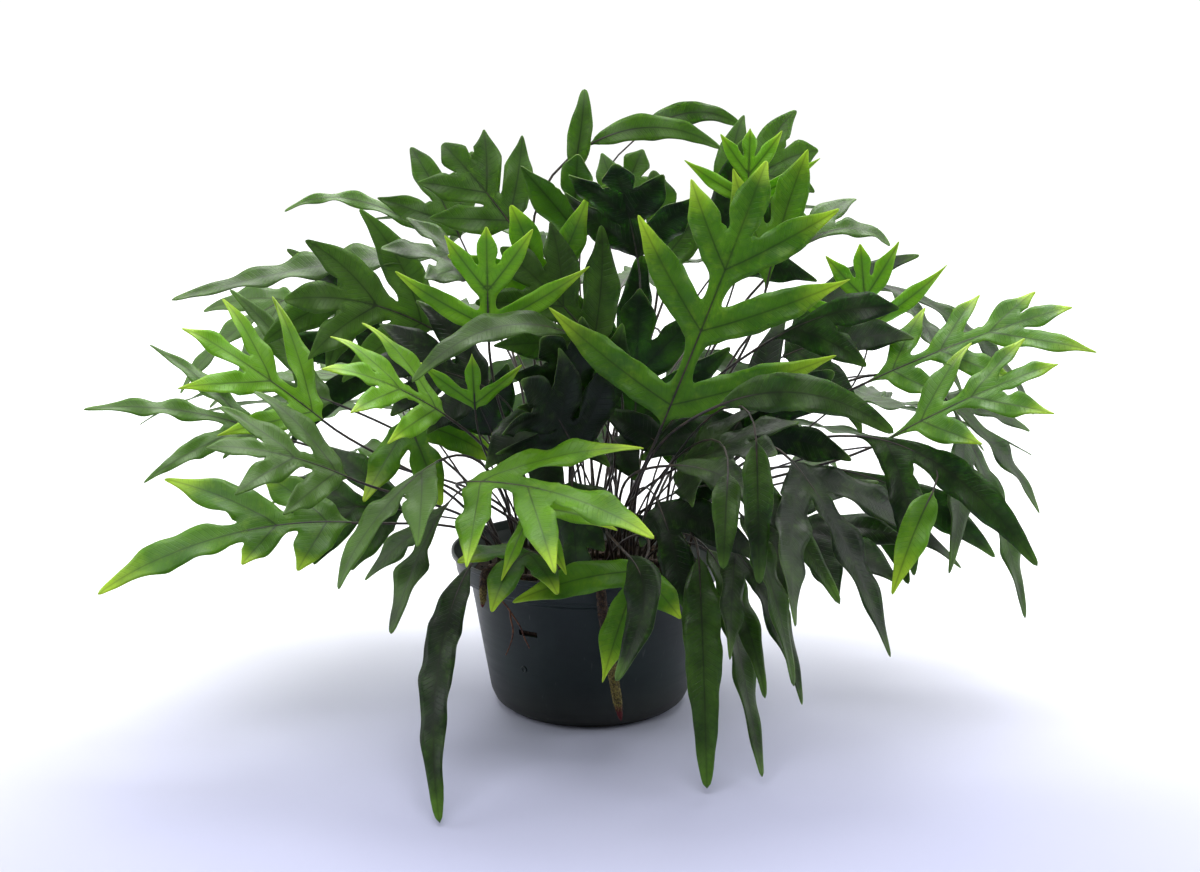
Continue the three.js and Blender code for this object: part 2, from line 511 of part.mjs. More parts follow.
// A lobe from three spots on the web (near edge, rib, far edge) out to its point.
function addLobe(sheet, owner, mirrored, root, spotAt, reach, half, fat) {
  let [near, rib, far] = root;
  const facet = (a, b, c) => addFacet(sheet, owner, mirrored, a, b, c);
  for (const [share, width] of lobeStations(reach.to - reach.from)) {
    const distance = reach.from + share * (reach.to - reach.from);
    const w = width * half + fat;
    const nextNear = spotAt(distance, -w, BLADE_EDGE);
    const nextRib = spotAt(distance, 0, BLADE_RIB);
    const nextFar = spotAt(distance, w, BLADE_EDGE);
    facet(near, nextRib, rib);
    facet(near, nextNear, nextRib);
    facet(rib, nextRib, far);
    facet(far, nextRib, nextFar);
    [near, rib, far] = [nextNear, nextRib, nextFar];
  }
  const tip = spotAt(reach.to + fat, 0, BLADE_EDGE);
  facet(near, tip, rib);
  facet(rib, tip, far);
}

// The web between the side lobes, with the side lobes on its edges and the end lobe past it.
function makeBlade(frond, stance, choices, fat) {
  const sheet = makeSheet();
  const web = webOf(frond) + fat;
  const lobes = layOutLobes(frond, stance, choices);
  const spot = (u, v, thickness) => {
    const lift = BLADE_GUTTER * Math.abs(v);
    return addSpot(sheet, u, v, bladePoint(stance, u, v, lift), thickness);
  };
  let left = spot(0, -STALK_RADIUS - fat, 2 * STALK_RADIUS);
  let right = spot(0, STALK_RADIUS + fat, 2 * STALK_RADIUS);
  let centre = null;
  const stepTo = (nextLeft, nextCentre, nextRight) => {
    if (centre === null) {
      addFacet(sheet, 'core', false, left, right, nextCentre);
    } else {
      addFacet(sheet, 'core', true, centre, left, nextCentre);
      addFacet(sheet, 'core', false, centre, right, nextCentre);
    }
    addFacet(sheet, 'core', true, left, nextLeft, nextCentre);
    addFacet(sheet, 'core', false, right, nextRight, nextCentre);
    [left, centre, right] = [nextLeft, nextCentre, nextRight];
  };
  const pairs = PLANS[frond.plan].length;
  for (let pair = 0; pair < pairs; pair += 1) {
    const [onLeft, onRight] = lobes.filter((lobe) => lobe.pair === pair);
    const grown = pair === 0 ? FIRST_WEB : 1;
    stepTo(
      spot(onLeft.from - fat, -web * grown, BLADE_EDGE),
      spot((onLeft.from + onRight.from) / 2, 0, BLADE_RIB),
      spot(onRight.from - fat, web * grown, BLADE_EDGE),
    );
    const before = [left, centre, right];
    const ends = [
      spot(onLeft.to + fat, -web, BLADE_EDGE),
      spot((onLeft.to + onRight.to) / 2, 0, BLADE_RIB),
      spot(onRight.to + fat, web, BLADE_EDGE),
    ];
    [onLeft, onRight].forEach((lobe, k) => {
      const near = before[2 * k];
      const far = ends[2 * k];
      const mirrored = lobe.side < 0;
      if (!lobe.present) {
        addFacet(sheet, 'core', mirrored, before[1], near, ends[1]);
        addFacet(sheet, 'core', mirrored, near, far, ends[1]);
        return;
      }
      const rib = spot((lobe.from + lobe.to) / 2, lobe.side * web, BLADE_RIB);
      addFacet(sheet, 'core', mirrored, before[1], near, rib);
      addFacet(sheet, 'core', mirrored, before[1], rib, ends[1]);
      addFacet(sheet, 'core', mirrored, ends[1], rib, far);
      const spotAt = (distance, across, thickness) => {
        const u = lobe.start + distance * Math.cos(lobe.angle) + across * Math.sin(lobe.angle);
        const v = lobe.side * (distance * Math.sin(lobe.angle) - across * Math.cos(lobe.angle));
        return addSpot(sheet, u, v, lobePoint(stance, lobe, distance, across), thickness);
      };
      const reach = { from: web / Math.sin(lobe.angle), to: lobe.length };
      addLobe(sheet, lobe.index, mirrored, [near, rib, far], spotAt, reach, lobe.half, fat);
    });
    [left, centre, right] = ends;
  }
  const last = pairs ? Math.max(...lobes.slice(-2).map((lobe) => lobe.to)) : 0;
  const choice = choices[lobes.length] || LOBE_CHOICES[0];
  const end = { start: last, length: (stance.length - last) * choice.size, bend: choice.bend };
  if (!pairs) {
    const first = STRAP_SHOULDER * stance.length;
    const half = STRAP_SHOULDER_WIDTH * frond.halfWidth + fat;
    stepTo(spot(first, -half, BLADE_EDGE), spot(first, 0, BLADE_RIB), spot(first, half, BLADE_EDGE));
  }
  const endSpot = (distance, across, thickness) => {
    const u = last + distance;
    return addSpot(sheet, u, across, endPoint(stance, end, u, across), thickness);
  };
  const reach = { from: 0, to: end.length };
  addLobe(sheet, lobes.length, true, [left, centre, right], endSpot, reach, frond.halfWidth, fat);
  return { sheet, count: lobes.length + 1, present: [...lobes.map((lobe) => lobe.present), true] };
}

// The stalk's stations from the neck down to its foot: places with a right and an upper side.
// A younger mate has no foot: its stalk starts slim, inside its neighbour's at the soil.
function stalkStations(frond, stance) {
  const frame = spineFrame(stance, 0);
  const ground = frond.root;
  const distance = ground.distanceTo(stance.neck);
  const low = ground.clone().addScaledVector(UP, distance * STALK_RISE);
  const high = stance.neck.clone().addScaledVector(frame.along, -distance * STALK_BEND);
  const curve = new THREE.CubicBezierCurve3(ground, low, high, stance.neck);
  const stations = [];
  let right = frame.right.clone();
  for (let k = STALK_STEPS - 1; k >= 0; k -= 1) {
    const share = k / STALK_STEPS;
    const along = curve.getTangent(share);
    right = right.clone().addScaledVector(along, -right.dot(along)).normalize();
    const upper = new THREE.Vector3().crossVectors(right, along);
    stations.push({ place: curve.getPoint(share), right, upper });
  }
  const lowest = stations[stations.length - 1];
  if (frond.neighbour) {
    lowest.slim = SHARED_STALK_FOOT;
    return stations;
  }
  stations.push({ ...lowest, place: ground.clone().addScaledVector(UP, -STALK_DEPTH) });
  return stations;
}

// The whole frond as one closed surface: blade top, blade underside, edges and stalk.
function makeFrond(frond, stance, choices, fat = 0) {
  const { sheet, count, present } = makeBlade(frond, stance, choices, fat);
  const { places, thick, triangles, owners } = sheet;
  const normals = places.map(() => new THREE.Vector3());
  for (const [a, b, c] of triangles) {
    const ab = places[b].clone().sub(places[a]);
    const normal = ab.cross(places[c].clone().sub(places[a]));
    for (const corner of [a, b, c]) normals[corner].add(normal);
  }
  const points = [];
  places.forEach((place, k) => {
    const offset = normals[k].normalize().multiplyScalar(thick[k] / 2 + fat);
    points.push(place.clone().add(offset), place.clone().sub(offset));
  });
  const faces = [];
  const labels = [];
  const keep = (label, ...list) => {
    for (const face of list) {
      faces.push(face);
      labels.push(label);
    }
  };
  const edges = new Map();
  triangles.forEach(([a, b, c], k) => {
    keep(owners[k], [2 * a, 2 * b, 2 * c], [2 * a + 1, 2 * c + 1, 2 * b + 1]);
    for (const [from, to] of [[a, b], [b, c], [c, a]]) edges.set(`${from} ${to}`, [from, to, owners[k]]);
  });
  for (const [from, to, owner] of edges.values()) {
    const inner = edges.has(`${to} ${from}`);
    const atNeck = from < 2 && to < 2;
    if (!inner && !atNeck) {
      keep(owner, [2 * to, 2 * from, 2 * from + 1], [2 * to, 2 * from + 1, 2 * to + 1]);
    }
  }
  let ring = [2, 0, 1, 3];
  const radius = STALK_RADIUS + fat;
  for (const { place, right, upper, slim = 1 } of stalkStations(frond, stance)) {
    const base = points.length;
    const half = radius * slim;
    for (const [x, y] of [[1, 1], [-1, 1], [-1, -1], [1, -1]]) {
      points.push(place.clone().addScaledVector(right, x * half).addScaledVector(upper, y * half));
    }
    for (let k = 0; k < 4; k += 1) {
      const next = (k + 1) % 4;
      keep('stalk', [ring[k], ring[next], base + next], [ring[k], base + next, base + k]);
    }
    ring = [base, base + 1, base + 2, base + 3];
  }
  keep('stalk', [ring[0], ring[1], ring[2]], [ring[0], ring[2], ring[3]]);
  return { points, faces, labels, count, present };
}

// ---------------------------------------------------------------- rhizome and roots
// A rod whose thickness follows a formula of the share along its route.
function taperedRod(route, radiusAt, sides, steps) {
  const curve = new THREE.CatmullRomCurve3(route.map(point));
  const points = [];
  const faces = [];
  let right = new THREE.Vector3().crossVectors(curve.getTangent(0), UP).normalize();
  for (let k = 0; k <= steps; k += 1) {
    const share = k / steps;
    const along = curve.getTangent(share);
    right = right.clone().addScaledVector(along, -right.dot(along)).normalize();
    const upper = new THREE.Vector3().crossVectors(right, along);
    for (let side = 0; side < sides; side += 1) {
      const turn = (2 * Math.PI * side) / sides;
      const spot = curve.getPoint(share);
      spot.addScaledVector(right, radiusAt(share, k) * Math.cos(turn));
      spot.addScaledVector(upper, radiusAt(share, k) * Math.sin(turn));
      points.push(spot);
    }
  }
  for (let k = 0; k < steps; k += 1) {
    for (let side = 0; side < sides; side += 1) {
      const next = (side + 1) % sides;
      const a = k * sides;
      const b = a + sides;
      faces.push([a + side, b + side, b + next], [a + side, b + next, a + next]);
    }
  }
  for (let side = 1; side < sides - 1; side += 1) {
    const last = steps * sides;
    faces.push([0, side, side + 1], [last, last + side + 1, last + side]);
  }
  return solidFrom(geometryOf(points, faces));
}

const RHIZOME_MAIN = [
  [-34, 26, 131], [-22, -18, 131], [-6, -62, 131], [3, -98, 135], [6, -116, 150], [8, -129, 153],
  [10, -139, 140], [14, -139, 104], [21, -135, 62], [27, -131, 26],
];
const RHIZOME_LEFT = [
  [-22, -18, 131], [-46, -52, 131], [-66, -78, 138], [-80, -93, 151], [-89, -105, 150], [-92, -109, 120],
];
const RHIZOME_RIGHT = [[-30, 10, 131], [10, 20, 131], [48, 2, 131], [78, -22, 131]];
const RHIZOME_BACK = [[-34, 26, 131], [-30, 60, 131], [6, 82, 131]];

function makeRhizome() {
  const knotted = (share, k) => {
    const width = share > GROWING_TIP ? TIP_WIDTH : 1;
    return width * RHIZOME_RADIUS * (1 + KNOT * (k % 2));
  };
  const thinner = (share, k) => BRANCH_WIDTH * knotted(share, k);
  return taperedRod(RHIZOME_MAIN, knotted, 6, 18)
    .add(taperedRod(RHIZOME_LEFT, thinner, 5, 9))
    .add(taperedRod(RHIZOME_RIGHT, thinner, 5, 4))
    .add(taperedRod(RHIZOME_BACK, thinner, 5, 3));
}

const ROOT_MAIN = [
  [-52, -88, 128], [-62, -100, 146], [-70, -110, 150], [-80, -119, 141], [-62, -112, 108], [-52, -112, 84],
];
const ROOT_FORK = [[-68, -114, 118], [-66, -117, 96], [-72, -119, 80]];

function makeHangingRoot() {
  const thin = (share) => ROOT_RADIUS - ROOT_TAPER * share;
  return taperedRod(ROOT_MAIN, thin, 4, 10).add(taperedRod(ROOT_FORK, thin, 4, 3));
}

// ---------------------------------------------------------------- room for every frond
// Stalks rise from spots spread over the soil like seeds in a sunflower, off the rhizome.
function findStalkSlots() {
  const routes = [RHIZOME_MAIN, RHIZOME_LEFT, RHIZOME_RIGHT, RHIZOME_BACK, ROOT_MAIN];
  const path = routes.flatMap((route) => new THREE.CatmullRomCurve3(route.map(point)).getPoints(40));
  const slots = [];
  for (let k = 0; k < STALK_SLOTS; k += 1) {
    const radius = STALK_FIELD_RADIUS * Math.sqrt((k + 0.5) / STALK_SLOTS);
    const turn = k * GOLDEN_ANGLE;
    const spot = new THREE.Vector3(radius * Math.cos(turn), radius * Math.sin(turn), SOIL_TOP);
    const open = path.every((p) => Math.hypot(p.x - spot.x, p.y - spot.y) > RHIZOME_RADIUS + STALK_ROOM);
    if (open) slots.push(spot);
  }
  return slots;
}

// Each frond takes the free slot nearest to the foot of its own lean.
function takeSlots(fronds) {
  const free = findStalkSlots();
  for (const frond of fronds) {
    const mate = fronds.find((other) => other.name === frond.neighbour);
    if (mate) {
      frond.root = mate.root;
      continue;
    }
    const wish = frond.neck.clone().multiplyScalar(LEAN_SHARE).setZ(0).clampLength(0, LEAN_RADIUS);
    const away = (spot) => Math.hypot(spot.x - wish.x, spot.y - wish.y);
    free.sort((a, b) => away(a) - away(b));
    frond.root = free.shift();
  }
}

// True where two triangles (nine numbers each) pass through each other.
function trianglesCross(p, q) {
  return edgesPierce(p, q) || edgesPierce(q, p);
}

function edgesPierce(p, q) {
  const e1 = [q[3] - q[0], q[4] - q[1], q[5] - q[2]];
  const e2 = [q[6] - q[0], q[7] - q[1], q[8] - q[2]];
  const nx = e1[1] * e2[2] - e1[2] * e2[1];
  const ny = e1[2] * e2[0] - e1[0] * e2[2];
  const nz = e1[0] * e2[1] - e1[1] * e2[0];
  const height = (k) => nx * (p[k] - q[0]) + ny * (p[k + 1] - q[1]) + nz * (p[k + 2] - q[2]);
  const heights = [height(0), height(3), height(6)];
  for (let k = 0; k < 3; k += 1) {
    const from = heights[k];
    const to = heights[(k + 1) % 3];
    if ((from > 0) === (to > 0)) continue;
    const share = from / (from - to);
    const a = 3 * k;
    const b = 3 * ((k + 1) % 3);
    const spot = [0, 1, 2].map((axis) => p[a + axis] + share * (p[b + axis] - p[a + axis]));
    if (insideTriangle(spot, q, [nx, ny, nz])) return true;
  }
  return false;
}

function insideTriangle(spot, q, normal) {
  for (let k = 0; k < 3; k += 1) {
    const a = 3 * k;
    const b = 3 * ((k + 1) % 3);
    const ex = q[b] - q[a];
    const ey = q[b + 1] - q[a + 1];
    const ez = q[b + 2] - q[a + 2];
    const sx = spot[0] - q[a];
    const sy = spot[1] - q[a + 1];
    const sz = spot[2] - q[a + 2];
    const across = [ey * sz - ez * sy, ez * sx - ex * sz, ex * sy - ey * sx];
    if (normal[0] * across[0] + normal[1] * across[1] + normal[2] * across[2] < 0) return false;
  }
  return true;
}

// What already stands: triangles sorted into cells of space, so that near ones are found fast.
function makeCrowd() {
  return { triangles: [], boxes: [], owners: [], cells: new Map(), seen: [], round: 0 };
}

function boxOf(t) {
  return [
    Math.min(t[0], t[3], t[6]), Math.min(t[1], t[4], t[7]), Math.min(t[2], t[5], t[8]),
    Math.max(t[0], t[3], t[6]), Math.max(t[1], t[4], t[7]), Math.max(t[2], t[5], t[8]),
  ];
}

function eachCell(box, visit) {
  const at = (value) => Math.floor(value / CELL) + 64;
  for (let x = at(box[0]); x <= at(box[3]); x += 1) {
    for (let y = at(box[1]); y <= at(box[4]); y += 1) {
      for (let z = at(box[2]); z <= at(box[5]); z += 1) visit((x * 256 + y) * 256 + z);
    }
  }
}

function joinCrowd(crowd, triangle, owner) {
  const index = crowd.triangles.length;
  const box = boxOf(triangle);
  crowd.triangles.push(triangle);
  crowd.boxes.push(box);
  crowd.owners.push(owner);
  crowd.seen.push(0);
  eachCell(box, (cell) => {
    if (!crowd.cells.has(cell)) crowd.cells.set(cell, []);
    crowd.cells.get(cell).push(index);
  });
}

function meetsCrowd(crowd, triangle, spared) {
  const box = boxOf(triangle);
  crowd.round += 1;
  let met = false;
  eachCell(box, (cell) => {
    if (met) return;
    for (const index of crowd.cells.get(cell) || []) {
      if (crowd.seen[index] === crowd.round) continue;
      crowd.seen[index] = crowd.round;
      const other = crowd.boxes[index];
      const apart = box[0] > other[3] || box[3] < other[0] || box[1] > other[4] || box[4] < other[1]
        || box[2] > other[5] || box[5] < other[2];
      if (apart || crowd.owners[index] === spared) continue;
      if (trianglesCross(triangle, crowd.triangles[index])) {
        met = true;
        return;
      }
    }
  });
  return met;
}

const triangleOf = (points, face) => face.flatMap((k) => [points[k].x, points[k].y, points[k].z]);

// True where a blade's triangle is too near the floor or the soil.
function tooLow(triangle) {
  for (let k = 0; k < 9; k += 3) {
    const overSoil = Math.hypot(triangle[k], triangle[k + 1]) < RIM_RADIUS - 9;
    if (triangle[k + 2] < (overSoil ? SOIL_TOP + SOIL_MARGIN : FLOOR_MARGIN)) return true;
  }
  return false;
}

// The parts of a frond, grown by a margin, that meet what already stands.
function meetings(frond, stance, choices, crowd, only) {
  const { points, faces, labels, present } = makeFrond(frond, stance, choices, MARGIN);
  const met = new Set();
  for (let k = 0; k < faces.length; k += 1) {
    const label = labels[k];
    if (met.has(label) || (only !== undefined && label !== only)) continue;
    const triangle = triangleOf(points, faces[k]);
    const blade = label !== 'stalk';
    if ((blade && tooLow(triangle)) || meetsCrowd(crowd, triangle, frond.neighbour)) {
      met.add(label);
      if (label === 'core' || label === 'stalk') return { met, blocked: true, present };
    }
  }
  return { met, blocked: false, present };
}

// True where a frond's own lobes keep clear of each other and of its stalk.
function clearOfItself(frond, stance, choices) {
  const { points, faces, labels } = makeFrond(frond, stance, choices, OWN_MARGIN);
  const triangles = faces.map((face) => triangleOf(points, face));
  const boxes = triangles.map(boxOf);
  for (let a = 0; a < faces.length; a += 1) {
    for (let b = a + 1; b < faces.length; b += 1) {
      if (labels[a] === labels[b]) continue;
      const p = boxes[a];
      const q = boxes[b];
      if (p[0] > q[3] || p[3] < q[0] || p[1] > q[4] || p[4] < q[1] || p[2] > q[5] || p[5] < q[2]) continue;
      if (faces[a].some((corner) => faces[b].includes(corner) || faces[b].includes(corner ^ 1))) continue;
      if (trianglesCross(triangles[a], triangles[b])) return false;
    }
  }
  return true;
}

// Finds the first stance, with its lobes eased where they must be, that hangs clear.
function settle(frond, crowd) {
  let best = null;
  for (let trial = 0; trial <= TRIALS; trial += 1) {
    if (best && best.strain < trial * 0.12) break;
    const stance = stanceOf(frond, trial);
    const choices = [];
    const first = meetings(frond, stance, choices, crowd);
    if (first.blocked) continue;
    let strain = trial * 0.02;
    let clear = true;
    for (const lobe of first.met) {
      const isEnd = lobe === first.present.length - 1;
      const option = LOBE_CHOICES.findIndex((choice, k) => {
        if (k === 0 || (isEnd && choice.size < 0.7)) return false;
        choices[lobe] = choice;
        return !meetings(frond, stance, choices, crowd, lobe).met.size;
      });
      if (option < 0) {
        clear = false;
        break;
      }
      strain += option * (isEnd ? 0.6 : 0.4);
    }
    if (!clear || (best && strain >= best.strain) || !clearOfItself(frond, stance, choices)) continue;
    best = { stance, choices, strain, trial };
    if (strain < 0.02 * trial + 0.1) break;
  }
  return best;
}

// Settles the fronds one after another, each into the room that the earlier ones leave.
function plantFronds(standing) {
  const fronds = FRONDS.map(readFrond);
  takeSlots(fronds);
  const crowd = makeCrowd();
  for (const solid of standing) {
    const { vertProperties, triVerts } = solid.getMesh();
    for (let k = 0; k < triVerts.length; k += 3) {
      const corners = [triVerts[k], triVerts[k + 1], triVerts[k + 2]];
      joinCrowd(crowd, corners.flatMap((c) => [...vertProperties.slice(3 * c, 3 * c + 3)]), 'pot');
    }
  }
  for (const frond of fronds) {
    frond.settled = settle(frond, crowd);
    if (!frond.settled) continue;
    const { stance, choices } = frond.settled;
    const { points, faces, labels } = makeFrond(frond, stance, choices);
    frond.solid = solidFrom(geometryOf(points, faces));
    faces.forEach((face, k) => {
      joinCrowd(crowd, triangleOf(points, face), labels[k] === 'stalk' ? frond.name : 'blade');
    });
  }
  return fronds;
}

// ---------------------------------------------------------------- soil
// Lumpy peat that fills the pot to just below its collar, with a plain hole for each stalk.
function makeSoil(stalkFeet) {
  const draw = makeDraw(4021);
  const topRing = (radius) => {
    const lump = () => SOIL_TOP + SOIL_LUMPS * (2 * draw() - 1) - (radius > 80 ? 1 : 0);
    return { radius, height: lump };
  };
  const level = (radius, z) => ({ radius, height: () => z });
  const rings = [
    ...SOIL_RINGS.map(topRing),
    level(SOIL_EDGE_RADIUS, SOIL_TOP - 1.5),
    level(WALL_TOP_RADIUS - WALL - SOIL_GAP, SOIL_SHOULDER_Z),
    level(WALL_FOOT_RADIUS - WALL - SOIL_GAP, FOOT_HEIGHT + 5.2),
    level(BASE_RADIUS - 11, POT_FLOOR + CLEARANCE),
  ];
  const points = [new THREE.Vector3(0, 0, SOIL_TOP)];
  const faces = [];
  for (const { radius, height } of rings) {
    for (let k = 0; k < POT_SIDES; k += 1) {
      const turn = (2 * Math.PI * k) / POT_SIDES;
      points.push(new THREE.Vector3(radius * Math.sin(turn), radius * Math.cos(turn), height()));
    }
  }
  points.push(new THREE.Vector3(0, 0, POT_FLOOR + CLEARANCE));
  const bottom = points.length - 1;
  const spot = (ring, k) => 1 + ring * POT_SIDES + (k % POT_SIDES);
  for (let k = 0; k < POT_SIDES; k += 1) {
    faces.push([0, spot(0, k + 1), spot(0, k)]);
    for (let ring = 1; ring < rings.length; ring += 1) {
      faces.push([spot(ring - 1, k), spot(ring - 1, k + 1), spot(ring, k + 1)]);
      faces.push([spot(ring - 1, k), spot(ring, k + 1), spot(ring, k)]);
    }
    faces.push([bottom, spot(rings.length - 1, k), spot(rings.length - 1, k + 1)]);
  }
  let soil = solidFrom(geometryOf(points, faces));
  for (const foot of stalkFeet) {
    const depth = STALK_DEPTH + 12;
    const drill = new THREE.CylinderGeometry(STALK_HOLE_RADIUS, STALK_HOLE_RADIUS, depth, 4);
    drill.rotateX(Math.PI / 2);
    drill.translate(foot.x, foot.y, SOIL_TOP - STALK_DEPTH - 1 + depth / 2);
    soil = soil.subtract(solidFrom(drill));
  }
  return soil;
}

// ---------------------------------------------------------------- the whole plant
const plastic = new THREE.MeshStandardMaterial({ color: '#1f2b29', roughness: 0.45, metalness: 0 });
const peat = new THREE.MeshStandardMaterial({ color: '#241a13', roughness: 0.95, metalness: 0 });
const scaly = new THREE.MeshStandardMaterial({ color: '#4a3a1e', roughness: 0.8, metalness: 0 });
const rooty = new THREE.MeshStandardMaterial({ color: '#5a3526', roughness: 0.8, metalness: 0 });
const matureLeaf = new THREE.MeshStandardMaterial({ color: '#24452a', roughness: 0.42, metalness: 0 });
const youngLeaf = new THREE.MeshStandardMaterial({ color: '#4f9a25', roughness: 0.4, metalness: 0 });

function nodeOf(name, solid, material) {
  const mesh = new THREE.Mesh(geometryFrom(solid), material);
  mesh.name = name;
  return mesh;
}

const plant = new THREE.Group();
const pot = makePot();
const rhizome = makeRhizome();
const hangingRoot = makeHangingRoot();
plant.add(nodeOf('pot', pot, plastic));
plant.add(nodeOf('rhizome', rhizome, scaly));
plant.add(nodeOf('hanging_root', hangingRoot, rooty));

const fronds = plantFronds([pot, rhizome, hangingRoot]).filter((frond) => frond.settled);
const stalkFeet = new Set(fronds.map((frond) => frond.root));
plant.add(nodeOf('soil', makeSoil(stalkFeet), peat));
for (const frond of fronds.filter((one) => !one.neighbour)) {
  let solid = frond.solid;
  for (const mate of fronds.filter((one) => one.neighbour === frond.name)) solid = solid.add(mate.solid);
  const isYoung = YOUNG.some((word) => frond.name.includes(word));
  plant.add(nodeOf(frond.name, solid, isYoung ? youngLeaf : matureLeaf));
}

export default plant;
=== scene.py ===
# %% [markdown]
# # A kangaroo paw fern in its nursery pot
# The CAD frame already holds the plant: a pot, its soil, a creeping rhizome and every
# frond as a plain faceted solid, each at its real size. This lesson dresses that frame.
# Each frond is grown again, finely, along the very curves that the solids follow, and the
# pot, the soil and the rhizome get the surfaces that a grower would know by touch.

import math

import bmesh
import bpy
import numpy as np
from types import SimpleNamespace
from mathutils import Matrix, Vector, kdtree, noise as wild
from mathutils.geometry import delaunay_2d_cdt


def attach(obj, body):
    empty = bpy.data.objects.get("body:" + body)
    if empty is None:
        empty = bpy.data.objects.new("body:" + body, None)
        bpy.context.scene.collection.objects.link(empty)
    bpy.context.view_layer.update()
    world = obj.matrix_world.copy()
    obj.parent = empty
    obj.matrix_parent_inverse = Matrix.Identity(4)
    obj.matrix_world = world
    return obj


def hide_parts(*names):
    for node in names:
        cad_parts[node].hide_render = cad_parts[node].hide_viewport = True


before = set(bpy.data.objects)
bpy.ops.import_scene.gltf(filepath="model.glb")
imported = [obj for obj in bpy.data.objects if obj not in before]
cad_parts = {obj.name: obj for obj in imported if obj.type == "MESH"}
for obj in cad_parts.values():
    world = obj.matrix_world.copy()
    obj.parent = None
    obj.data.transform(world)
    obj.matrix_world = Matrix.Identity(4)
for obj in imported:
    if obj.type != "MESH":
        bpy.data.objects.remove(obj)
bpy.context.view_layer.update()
MM = 0.001

# %% [markdown]
# ## The growing rules
# A frond has a wiry stalk and a leathery blade. The blade is a spine with pairs of lobes.
# It could be drawn one leaf at a time, but a plant repeats one rule with small changes, so
# a planting list gives each frond its neck, tip, arch, sway, upper side, lobe plan and lobe
# width, and the same few formulas grow all of them. The numbers are millimetres.

# %% The pot's and the blade's driving sizes
POT_HEIGHT = 145
RIM_RADIUS = 127
COLLAR_HEIGHT = 23
COLLAR_FOOT_RADIUS = 117
WALL_TOP_RADIUS = 110
WALL_FOOT_RADIUS = 92
WALL_FOOT_HEIGHT = 15
COLLAR_STEP = 3
BASE_RADIUS = 80
WALL = 2.2
SOIL_TOP = 124
STALK_RADIUS = 1.25
STALK_DEPTH = 14
BLADE_GUTTER = 0.14
RUFFLE = 3.2
RUFFLE_LENGTH = 46
SINUS = 3
UP = np.array([0.0, 0.0, 1.0])
print("a frond's stalk is", 2 * STALK_RADIUS, "mm thick; its margins wave by", RUFFLE, "mm")

# %% [markdown]
# ## The lobe plans
# A frond's lobes come in pairs. A plan gives each pair its place along the blade, its left
# and right lobe as shares of the blade's length, their angle in degrees, and the right
# lobe's own angle where it differs. A strap has no pairs, a paw has one or two, and the
# widest blades have three.

# %% The lobe plans
PLANS = {
    "strap": [],
    "fork_left": [[0.16, 0.66, 0, 42]],
    "fork_right": [[0.16, 0, 0.66, 42]],
    "paw3": [[0.12, 0.72, 0.66, 46]],
    "paw3_long": [[0.1, 0.95, 0.9, 50]],
    "paw3_wide": [[0.1, 0.5, 1, 62]],
    "paw5": [[0.08, 0.66, 0.72, 54], [0.38, 0.6, 0.54, 42]],
    "paw5_small": [[0.06, 0.95, 1.05, 64], [0.4, 0.6, 0.66, 40]],
    "hero": [[0.08, 0.54, 0.57, 79, 56], [0.36, 0.44, 0.52, 54], [0.59, 0.32, 0.42, 45]],
    "wing": [[0.12, 0.36, 0.3, 58], [0.36, 0.34, 0.42, 52], [0.6, 0.28, 0.5, 36]],
    "fan": [[0.2, 0.5, 0.42, 52], [0.5, 0.4, 0.5, 40]],
    "spread": [[0.08, 0.64, 0.55, 37, 62], [0.34, 0, 0.52, 42]],
    "sickle": [[0.1, 0.26, 0.34, 58], [0.3, 0.22, 0.46, 44, 52]],
}

# %% [markdown]
# ## The planting list
# One line is one frond: name, neck, tip, rise of the arch, sway to the side, the way its
# upper side looks, lobe plan, half width of a lobe and freedom to lean aside. The solids were
# grown from the same list, so a frond can be matched with its solid by name.

# %% The ways that an upper side can look
FRONT = [0, -1, 0.35]
FRONT_UP = [0, -0.6, 0.8]
FRONT_LEFT = [-0.3, -0.9, 0.3]
OUT_LEFT = [-0.5, -0.5, 0.7]
OUT_RIGHT = [0.5, -0.5, 0.7]
LOW_LEFT = [-0.7, -0.7, 0.4]
LOW_RIGHT = [0.7, -0.7, 0.4]
BACK = [0, 0.9, 0.4]
BACK_UP = [0, 0.6, 0.8]
UP_LEFT = [-0.2, 0.5, 0.9]
UP_RIGHT = [0.2, 0.5, 0.9]

